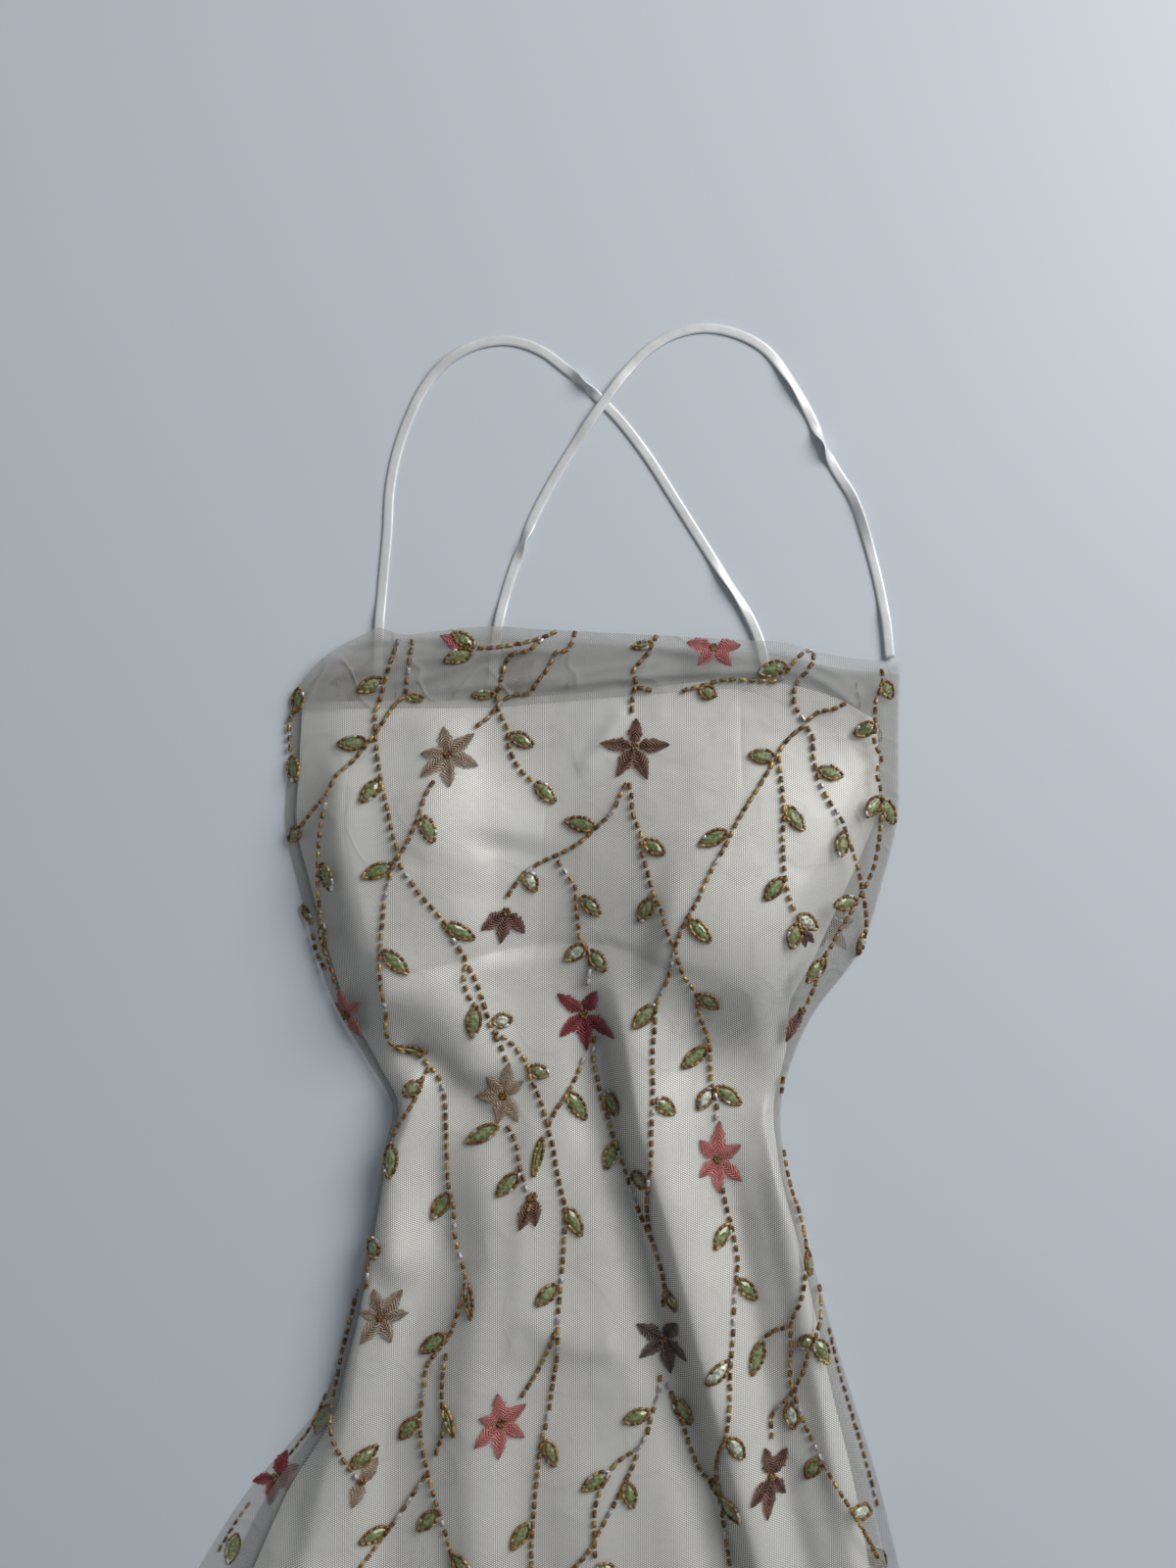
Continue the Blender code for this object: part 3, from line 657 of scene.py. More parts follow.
# ---------------------------------------------------------------- straps
# (x, drop) along each strap, from its front end to its back end.
STRAP_LEFT = (
    (-11, 4), (-10.9, 0), (-10.7, -2.9), (-10.35, -6.8), (-10.2, -9.4), (-9.8, -11.6),
    (-9, -14), (-7.9, -16.2), (-6.4, -17.9), (-4.5, -19), (-2.3, -19.3), (-0.3, -18.7),
    (1.5, -17.4), (3.2, -15.9), (4.9, -14.2), (6.7, -11.9), (8.5, -9.1), (10.2, -6.4),
    (11.8, -3.9), (13.1, -1.9), (14.2, 0.4), (14.8, 2.9),
)
STRAP_RIGHT = (
    (22.9, 1.75), (22.7, -0.4), (22.2, -3.2), (21.4, -6.2), (20.4, -9), (19.2, -11),
    (18.3, -12.9), (17.4, -14.8), (16.1, -17), (14.6, -18.8), (12.7, -19.8), (10.7, -20.15),
    (8.8, -19.8), (6.9, -18.7), (5.3, -17), (3.9, -15.1), (2.2, -12.6), (0.6, -10),
    (-0.7, -7.5), (-1.7, -5), (-2.5, -2.6), (-3.1, 0.2), (-3.4, 3.7),
)
STRAP_WIDTH = 6.6  # mm
STRAP_THICKNESS = 1.7  # mm
CROSSING = (4.0, -15.2)
CROSSING_LIFT = 2.0  # mm
CROSSING_REACH = 2.6  # cm
STRAP_SIDES = 16
STRAP_STATIONS = 220
CLIMB_START, CLIMB_LENGTH = -2.4, 1.8  # drop, and cm, over which a strap climbs onto the net
ROUNDNESS = 0.75  # of a strap's section: 1 is an ellipse and less is squarer
HOLLOW_DEPTH, HOLLOW_WIDTH = 0.25, 0.35  # shares of a strap's half thickness and half width
# Where each strap rolls over: its place (x, drop), the tilt in degrees and the reach in cm.
LEFT_ROLLS = (((2.6, -16.3), 75, 0.9), ((12.4, -2.9), -35, 1.6), ((-6.0, -18.2), 25, 2.0))
RIGHT_ROLLS = (
    ((18.4, -12.3), 80, 0.8), ((20.9, -8.0), -30, 1.8), ((-1.4, -6.0), 55, 0.8), ((16.6, -16.4), 30, 1.4),
)


def build_strap(name, route, rolls, lift, material):
    """A narrow flat tube of satin swept along its route."""
    line = smooth_line(route, STRAP_STATIONS)
    run = np.gradient(line, axis=0)
    run /= np.linalg.norm(run, axis=-1, keepdims=True)
    tilt = np.zeros(len(line))
    for place, degrees, reach in rolls:
        tilt += math.radians(degrees) * np.exp(-((np.hypot(*(line - place).T) / reach) ** 2))
    over_crossing = np.exp(-((np.hypot(*(line - CROSSING).T) / CROSSING_REACH) ** 4))
    half_width, half_thick = STRAP_WIDTH / 2, STRAP_THICKNESS / 2
    stands = np.abs(np.sin(tilt)) * half_width + np.abs(np.cos(tilt)) * half_thick
    on_net = smooth((line[:, 1] - CLIMB_START) / CLIMB_LENGTH)
    height = stands + NET_EDGE_Z * on_net + lift * over_crossing
    centre = placed(line[:, 0], line[:, 1], height)
    sideways = np.stack([run[:, 1], run[:, 0], np.zeros(len(line))], axis=-1)
    up = np.array([0.0, 0.0, 1.0])
    across = sideways * np.cos(tilt)[:, None] + up * np.sin(tilt)[:, None]
    outward = -sideways * np.sin(tilt)[:, None] + up * np.cos(tilt)[:, None]
    turn = np.linspace(0.0, 2 * math.pi, STRAP_SIDES, endpoint=False)
    wide = np.sign(np.cos(turn)) * np.abs(np.cos(turn)) ** ROUNDNESS * half_width * MM
    hollow = 1 - HOLLOW_DEPTH * np.exp(-((np.cos(turn) / HOLLOW_WIDTH) ** 2))
    thick = np.sin(turn) * half_thick * MM * hollow
    points = centre[:, None] + across[:, None] * wide[:, None] + outward[:, None] * thick[:, None]
    walls, first, last = tube_faces(len(line), STRAP_SIDES)
    faces = walls.tolist() + [first[::-1].tolist(), last.tolist()]
    obj = add_piece(name + "_satin", points.reshape(-1, 3), faces, material)
    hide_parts(name)


# ---------------------------------------------------------------- the beaded and embroidered sprays
# Each stem: the points (x, drop) that its beads follow.
STEMS = (
    ((-16.3, 5), (-16.7, 5.6), (-16.7, 8)),
    ((-9.5, 0.4), (-9.9, 1.7), (-10.3, 3), (-10.6, 4.2), (-11, 5.6), (-10.95, 6.9), (-10.7, 8.8),
     (-10.35, 10.5), (-10, 11.8), (-9.7, 13.1), (-9.3, 14.4), (-9.2, 15.1), (-8.4, 16.4), (-7.5, 17.6),
     (-6.5, 18.7), (-5.65, 20.3), (-5, 21.5), (-5.1, 22.7), (-4.8, 23.8), (-4.2, 24.7)),
    ((-4.9, 21.8), (-4.5, 22.5), (-4, 23.8), (-3.65, 25), (-3.25, 26.1), (-2.4, 26.7), (-1.6, 27.5),
     (-1, 28.5), (-0.9, 29.1), (-0.35, 30.3), (0.05, 31.5), (0.35, 32.5)),
    ((-8.6, 0.4), (-8.75, 1.7), (-8.9, 2.9), (-9.1, 4.2), (-9.9, 5.1), (-10.7, 6.4), (-11.5, 7.5),
     (-12.5, 8.7), (-13.4, 9.5), (-14, 10.7), (-15, 11.8), (-15.9, 12.9)),
    ((-14, 11.2), (-14.25, 12), (-14.45, 13.3), (-14.6, 15.3), (-14.65, 16.8), (-14.5, 18.7),
     (-14.4, 20.8), (-13.95, 21.8), (-13.6, 23.2)),
    ((-15.2, 19.8), (-15, 21.1), (-14.3, 22.4)),
    ((2.1, -0.1), (2, 0.4), (1.5, 1.3), (0.95, 1.4), (0.25, 2.6), (-0.45, 3.5), (-0.8, 4), (-2.15, 4.3),
     (-2.85, 4.8), (-3.6, 5.7), (-4.5, 6.4)),
    ((-7, 9.8), (-7.6, 10.9), (-7.85, 11.8), (-8.3, 13), (-8.95, 14.3), (-9.4, 14.9), (-9.85, 16.3),
     (-10.15, 17.8), (-10.3, 19.2), (-10.4, 21.6), (-10.35, 23), (-10.1, 24.8), (-10.2, 26.1),
     (-10, 26.8), (-8, 27.9), (-7.4, 28.5)),
    ((0.95, 0), (0.1, 0.4), (-1.3, 0.85), (-2.9, 1.15), (-4.4, 1.2)),
    ((0.1, 0.5), (-1, 1.3), (-2.2, 1.65), (-2.55, 2.4), (-2.8, 3.4), (-3.05, 4.4), (-2.9, 5.3),
     (-2.35, 6.4), (-2.3, 7.4), (-1.9, 8.5), (-1.3, 9.35), (-0.6, 9.95)),
    ((5.5, 9.9), (5.1, 10.7), (4.5, 11.9), (3.5, 12.9), (2.1, 14.1), (0.95, 14.7), (-0.15, 15.2),
     (-1.2, 15.9), (-2, 16.9), (-2.4, 17.5)),
    ((0.9, 15), (1.3, 15.6), (2.1, 16.8), (2.2, 18), (2.3, 19.2), (2.5, 20.3), (2.95, 21), (3, 22.6),
     (2.9, 23.3)),
    ((5.6, 9.9), (5.75, 10.7), (5.9, 12.2), (6.35, 13.3), (6.4, 14.3), (6.8, 15.8), (7.15, 17.1),
     (7.6, 18), (7.9, 19.2), (8.4, 20.4), (8.7, 21.4), (9.15, 22.5), (9.9, 23.6), (10, 24.4),
     (10.35, 25.6), (10.8, 26.7), (10.95, 28.4), (11.05, 29.8), (11.35, 30.8), (11.3, 32.2)),
    ((11.7, 36.4), (12, 37.8), (12.3, 38.9), (12.55, 40.1), (12.75, 41.4), (12.65, 42.4), (12.45, 44),
     (12.3, 46.2), (12.1, 48), (12.05, 50), (11.8, 52.2), (11.5, 53.2), (11.35, 55), (11.6, 56.6),
     (11.85, 58.5), (12.3, 61.7)),
    ((7.5, 0.2), (7.2, 0.8), (6.65, 1.8), (5.95, 2.6), (6.05, 3.4), (5.85, 4.5), (5.8, 5.5)),
    ((6.1, 3.7), (7.2, 3.95)),
    ((9, 4), (10.3, 3.65), (12, 3.2), (13.75, 3.25), (15.6, 3.15), (16.2, 2.35), (17.1, 1.5), (17.6, 1.3),
     (17.7, 1.9), (17.3, 2.6), (16.6, 3.5), (16.45, 4.5), (16.8, 5.5), (17.2, 6)),
    ((17.2, 6), (18, 5.4), (19.3, 5.05), (19.9, 4.7)),
    ((17.2, 6.2), (16.4, 6.8), (15.65, 7.6), (15.1, 8.5), (14.25, 9.9), (13.2, 11.5), (12.45, 12.7),
     (11.8, 14), (10.8, 15.7), (9.95, 17.5), (9.1, 19), (8.6, 20.2), (8.3, 21.5), (8.1, 22.5),
     (7.6, 23.6), (7.35, 24.3), (7.25, 25.7), (7.1, 27.2), (7.1, 29), (7.1, 30.3), (7, 32.6), (7, 34.4),
     (6.85, 36), (6.85, 38.3), (7, 39.4)),
    ((15.35, 8.2), (15.45, 9.4), (15.6, 11.5), (15.5, 13.6), (15.55, 15.6), (15.75, 17), (16.2, 18.3)),
    ((17.2, 6.2), (17.65, 7), (17.65, 8), (17.9, 9.5), (18.65, 11.2), (19.4, 12.4), (19.7, 13.2),
     (20.1, 14.4), (20.55, 15.7), (20.85, 17.1), (21.15, 18.3), (21.25, 19.6), (20.7, 21.4)),
    ((22.2, 2.4), (22.3, 3.2), (21.8, 4.8), (21.75, 6.2), (21.75, 7.4), (22.15, 8.4), (21.9, 9.2),
     (22.1, 10.6), (22.15, 12.3), (21.95, 14.1), (21.6, 15.7), (20.85, 17.1), (20.05, 18.4),
     (19.25, 19.5), (18.6, 20.6), (18.1, 21.3), (17.65, 23), (17.2, 24.5)),
    ((15.75, 29.2), (15.6, 30.6)),
    ((15.75, 34.1), (15.9, 35.2), (16.2, 36.6), (16.9, 38.6), (17.1, 40.1), (17.05, 42), (16.8, 43.5),
     (16.2, 45.2), (16.2, 46.9), (16.15, 48.8), (16.25, 49.9), (15.5, 50.8), (15.05, 51.4), (15, 53.1)),
    ((16, 45.5), (15.15, 45.85), (14.5, 46.4)),
    ((18.25, 43.1), (18.1, 44.5), (17.8, 45.7), (17.25, 47.2), (16.9, 48.6), (16.5, 49.6), (16.95, 51.5),
     (17.8, 53.3), (18.5, 54.7), (19.45, 56.3), (20.2, 57.6), (21.2, 59.5), (22, 61.1)),
    ((-7.4, 28.5), (-7.95, 29.5), (-8.35, 30.6), (-9.1, 31.8), (-9.75, 33.1)),
    ((-7.4, 28.5), (-6.8, 29.3), (-6.5, 30.5), (-6.4, 32.2), (-6.3, 34.5), (-6.2, 36.5), (-5.9, 37.6),
     (-5.75, 39.8), (-5.4, 41), (-5.05, 42.4), (-5.3, 43.7), (-5.75, 45.2), (-6.05, 46), (-6.9, 47.2),
     (-7.6, 48.2), (-7.8, 49.8), (-8.05, 51.4), (-7.95, 53.3), (-7.6, 54.9), (-7.1, 56.7), (-6.6, 58.2),
     (-6.1, 59.8), (-5.7, 61.8)),
    ((-6.3, 47.2), (-6.55, 48.7), (-6.6, 50.3), (-6.5, 52.2), (-7.05, 54)),
    ((-7.6, 55.2), (-8.25, 56.2), (-9.1, 57.5), (-10, 58.8), (-11.2, 60.3), (-12.5, 61.8)),
    ((-3.25, 26.3), (-2.95, 26.8), (-2.6, 27.5), (-2.35, 28.3)),
    ((-2.4, 32.3), (-1.7, 33.7), (-1.5, 35), (-1.2, 36), (-0.9, 37.2), (-1.2, 38.6)),
    ((2.7, 28), (2.2, 29.2), (1.6, 30.3), (0.8, 31.5), (0.35, 32.5), (0.6, 33.5), (0.85, 35), (1.1, 36.3),
     (1.4, 37.6), (1.4, 39.4), (1.3, 41), (1.1, 43.3), (0.95, 45), (0.95, 47.1), (0.6, 49.5), (0.3, 51.5),
     (-0.1, 53), (-0.35, 55), (-0.6, 57.5), (-0.75, 60), (-0.75, 62)),
    ((0.8, 45.7), (0.15, 47.4), (-0.7, 49), (-1.5, 50.2)),
    ((3.35, 26.6), (3.3, 28.2), (3.55, 29.5), (3.8, 30.7), (4.3, 32.3), (4.65, 33.5), (4.95, 34.3),
     (5.45, 35.8), (5.9, 37.1), (6.5, 38.6), (7.1, 39.8), (7.5, 41), (7.95, 42.8), (7.9, 44.5)),
    ((7.7, 48.9), (7.55, 50.2), (7.1, 51.4), (6.7, 52.8), (6.3, 53.4), (5.1, 54.2), (4.4, 54.9),
     (3.85, 55.9), (3.4, 57.2), (3.35, 59), (3.4, 60.6)),
    ((6.2, 53.8), (5.85, 54.7), (5.4, 55.6), (4.8, 56.8), (3.85, 58.5), (2.95, 60.1), (1.4, 61.8)),
    ((8.15, 49.4), (8.6, 50.7), (9.15, 52.2), (9.65, 53.7), (10.4, 55.4), (11.3, 56.4)),
    ((-11.35, 41.2), (-11.45, 42.9)),
    ((-12.2, 43.4), (-13.2, 47), (-13.5, 49), (-13.85, 51), (-13.6, 52.7), (-12.65, 54.4), (-12, 55.4)),
)
# Each leaf: its base and its tip. Its stone is green, or silvery ("S"); "Gn" is a narrow green leaf.
LEAVES = (
    (-16.3, 5.3, -16.1, 3.7), (-16.6, 8.2, -16.4, 10), (-10.55, 3.15, -12.2, 4),
    (-9, 4.3, -7.8, 4.5, "Gn"), (-11.5, 7.3, -13.5, 7.5), (-10.55, 9.8, -11.8, 11.25),
    (-7.7, 12.1, -7, 13.85), (-9.55, 15.25, -11.6, 16.05), (-15.9, 12.95, -16.8, 13.8),
    (-14.4, 15.2, -13.7, 17), (-14.4, 19.1, -14.4, 20.8, "Gn"), (-16, 18.1, -15.2, 19.3, "Gn"),
    (-6.4, 19.05, -4.4, 20.1), (-10.25, 20.75, -8.6, 22.25), (-4.4, 24.5, -4.55, 26.5),
    (-3.3, 25.55, -2, 25.4, "S"), (-1, 28.65, 0.4, 29.1), (-9.75, 27.25, -7.5, 27.6, "Gn"),
    (-7.9, 29.5, -9.1, 30.3), (-9.8, 33.4, -10, 35.7), (-2.9, 32.4, -5.05, 33.55),
    (-1.55, 35.4, -3, 36.85), (0, 33.05, -0.65, 35.65, "Gn"), (1.6, 30.2, 2.8, 32.15),
    (1.55, 37.7, 2.5, 39.65), (-6.2, 36.9, -7.3, 38.65), (-2.2, 6.8, -0.6, 7.55), (-0.5, 9.95, 0.8, 11.3),
    (3.5, 12.9, 1.4, 12.45), (-1.2, 15.75, -0.45, 17.1, "S"), (2.5, 17.4, 3.75, 18.6),
    (2.85, 20.6, 1.45, 21.55, "S"), (3.05, 20.9, 4.1, 22.3), (-4.5, 1.1, -6, 0.1), (-4.6, 1.4, -6.5, 2),
    (-4.7, 4.25, -3.1, 4.2, "Gn"), (7.2, 0.8, 5.8, 1.1, "Gn"), (10.2, 3.9, 11.4, 4.2),
    (15.95, 2.25, 14.1, 2.8), (15.15, 8.3, 13.4, 8.2), (18, 9.1, 19.6, 9.55), (15.75, 11.5, 16.9, 13.1),
    (19.6, 13.15, 19.3, 14.8), (11.9, 13.1, 10.1, 14), (6.55, 13.7, 7.9, 14.6), (7.1, 17.4, 6.25, 19),
    (9.4, 18.7, 10.75, 20.15), (15.5, 16.1, 14.25, 17.5), (16.4, 18.5, 17.7, 19.4, "S"),
    (16.4, 19, 15.95, 20.65), (20.5, 17.65, 18.8, 17.95), (21.75, 6.15, 20.4, 6.85),
    (22.1, 10.9, 21.1, 12.2), (22.25, 11.05, 23.2, 12.7), (22.3, 3.3, 23, 4.4),
    (21.1, 19.9, 20.8, 21.4, "Gn"), (18.3, 21.3, 17, 22.85), (7.3, 24.3, 5.85, 25.8),
    (10, 23.6, 11.4, 24.55), (10.8, 27.25, 9.05, 28.65), (11.1, 30.05, 10.1, 31.35, "S"),
    (11.35, 29.95, 13, 31.1), (7.3, 30.4, 8.55, 31.5), (4.1, 30.25, 4.8, 31.9), (4.75, 33.65, 4.1, 35.5),
    (6.1, 35.3, 6.45, 36.5), (12.2, 38.9, 11.2, 40.4), (-4.9, 42.6, -4.7, 44.95, "Gn"),
    (-6.35, 46.1, -8.05, 47.35), (-8.2, 51.55, -9.4, 53), (-6.5, 50.55, -5.8, 52.6, "Gn"),
    (-12.5, 54.5, -10.8, 53.25), (-6.9, 57.55, -8.2, 59), (-10.1, 58.9, -12, 59.6),
    (-5.95, 60.2, -4.5, 61.9), (-11, 39.6, -11, 41), (0.95, 42.7, -0.45, 44), (0.15, 52.9, 0.8, 54.65),
    (-0.9, 58.3, -2.05, 60), (12.75, 42.55, 14.05, 43.95), (12.1, 47.4, 10.5, 48.75, "S"),
    (12, 52.25, 13, 53.8, "S"), (7, 51.15, 5.25, 51.8), (4.35, 55, 2.55, 56.1),
    (5.45, 55.65, 5.85, 57.45), (8.6, 50.55, 9.75, 52.3), (11.6, 56.9, 12.8, 58.1),
    (11, 55.8, 11.6, 56.9, "Gn"), (17.2, 40.55, 17.4, 42.1, "Gn"), (14.4, 46.6, 13.65, 48.8),
    (17.6, 46, 16.65, 46.75), (17.7, 46.1, 18.6, 47.85), (16.15, 50.55, 16.4, 52.3, "S"),
    (18.05, 54.15, 17.2, 55.45), (20.1, 57.3, 21.6, 58.1, "S"), (3.5, 61, 5, 61.8),
    (8.1, 43.2, 8.6, 44.4, "Gn"),
)
# Each flower: its thread, its centre and its petals' tips.
FLOWERS = (
    ("taupe", (-6.2, 8.15), ((-6.5, 6.3), (-4.5, 6.75), (-4.2, 8.9), (-6.05, 10.3), (-7.9, 9.6),
         (-7.95, 8.1))),
    ("brown", (5.97, 7.6), ((6.1, 5.75), (8.3, 7.5), (6.8, 9.8), (4.8, 9.6), (3.7, 7.4))),
    ("pink", (-5, 1.05), ((-6.8, 0.3), (-6.3, 1))),
    ("pink", (11.2, 1.1), ((9.4, 0.75), (13, 0.95), (10.15, 2.3), (12.35, 2.35))),
    ("brown", (-2.4, 18.4), ((-4, 19.6), (-2.8, 20.5), (-1.2, 19.85))),
    ("crimson", (2.65, 25.15), ((0.9, 23.8), (3.5, 23.6), (1.1, 26.65), (2.85, 27.7), (4.6, 26.65))),
    ("rose", (-13, 25.3), ((-13.4, 23.45), (-13.75, 24.5), (-11.95, 24.3), (-11.85, 26.7))),
    ("beige", (-2.6, 30.45), ((-2.2, 28.2), (-3.7, 29.1), (-4.5, 30.6), (-3, 32.3), (-1.65, 32.2),
         (-1.3, 29.5))),
    ("brown", (16.75, 19.5), ((16.9, 20.6), (17.5, 20.3))),
    ("brown", (16.9, 24.9), ((16.3, 26.3), (15.9, 27))),
    ("rose", (11.4, 34.6), ((11.55, 32.1), (10.2, 33.3), (12.95, 33.7), (10.2, 35.7), (11.55, 36.9),
         (13.05, 36.15))),
    ("taupe", (-10.55, 44.7), ((-11, 42.85), (-9.15, 43), (-8.8, 44.65), (-9.9, 46.5), (-11.85, 46.45),
         (-11.95, 44.4))),
    ("umber", (7.95, 46.75), ((6.1, 45.6), (8.7, 45.3), (6.3, 47.75), (9.35, 47.75), (8.4, 49))),
    ("rose", (-2.75, 51.7), ((-2.95, 49.75), (-1.1, 50.6), (-1.2, 52.8), (-2.9, 54.1), (-4.45, 53.2),
         (-4.2, 51.3))),
    ("brown", (14.95, 55.4), ((14.5, 53.5), (16, 53.6), (15.9, 56.6), (14.6, 58), (13.5, 57))),
    ("beige", (-11.8, 55.45), ((-10.8, 54.1), (-12.4, 57.2), (-10.9, 55))),
    ("brown", (-0.65, 36.9), ((-1.55, 39.1), (-0.5, 38.9))),
)
# What shows of the back net's sprays past the front's edges.
BACK_STEMS = (
    ((-14.4, 50.4), (-15.4, 52.6), (-16.9, 54.6)),
    ((-19.4, 57.6), (-20.4, 59), (-21.6, 61)),
    ((18.9, 46), (19.5, 48.6), (20.2, 51), (21.4, 55), (22.2, 58)),
)
BACK_LEAVES = ((-14.3, 51.2, -15.1, 53.2), (-20.3, 59.7, -20.9, 61.8), (21.9, 60.6, 22.6, 62.2))
BACK_FLOWERS = (
    ("crimson", (-17.8, 56), ((-17, 54.2), (-19.3, 56.3), (-18.2, 57.9), (-16.3, 56.9), (-16.2, 55.2))),
    ("brown", (-1.9, 3), ((-3.6, 2.4), (-2.4, 1.3), (-0.6, 1.8), (-0.3, 3.5), (-1.6, 4.7), (-3.4, 4.2))),
    ("taupe", (-12.6, 3.2), ((-14.2, 3.4), (-13.4, 1.9), (-11.6, 2), (-11.2, 3.8), (-12.9, 4.7))),
)

STEM_PITCH = 0.65  # cm from bead to bead along a stem
STEM_BEAD = (0.44, 1.4)  # length in cm and radius in mm
LEAF_PITCH = 0.40
LEAF_BEAD = (0.35, 1.08)
LEAF_HALF_WIDTH = 0.43  # cm, to the middle of the beads round a leaf
NARROW_LEAF_HALF_WIDTH = 0.24
SEED_BEAD = (0.19, 1.05)
SEED_RING = 0.2  # cm
BEAD_SIDES = 6
BEAD_LEAN = 5  # degrees, the usual stray from the stem's line
BEAD_LENGTHS = (0.86, 1.08)  # shares of the usual length
# Rings of a bead, as shares of its length and of its radius.
BEAD_RINGS = ((0.0, 0.86), (0.07, 1.0), (0.93, 1.0), (1.0, 0.86))
TONES = (("brown", 0.68), ("gold", 0.24), ("silver", 0.08))
LEAF_TONES = (("brown", 0.66), ("gold", 0.27), ("silver", 0.07))
# Points round a marquise stone, as shares of its half length and half width.
MARQUISE = ((1, 0), (0.6, 0.74), (0, 1), (-0.6, 0.74), (-1, 0), (-0.6, -0.74), (0, -1), (0.6, -0.74))
STONE_RINGS = ((1.0, 0.0), (1.0, 0.6), (0.55, 1.5))  # share of the outline, height in mm
STONE_SHORTER, STONE_NARROWER = 0.27, 0.1  # cm, half the room that a leaf's beads take
STONE_PLACE = 0.49  # share of the way from a leaf's base to its tip
STAND_SHARE = 0.6  # share of a bead's stand that stones and petals take
PETAL_ROWS, PETAL_COLUMNS = 25, 7
PETAL_HALF_WIDTH, WIDEST_PETAL = 0.28, 0.5  # share of the length, and cm
RAGGED_EDGE = (0.7, 1.15)  # shares of the half width
PETAL_CROWN, PETAL_VEIN, VEIN_WIDTH = 1.1, 0.45, 0.2  # mm, mm, and share of the half width
PETAL_GAP = 0.13  # share of the way from a flower's middle to a petal's tip at which the petal starts


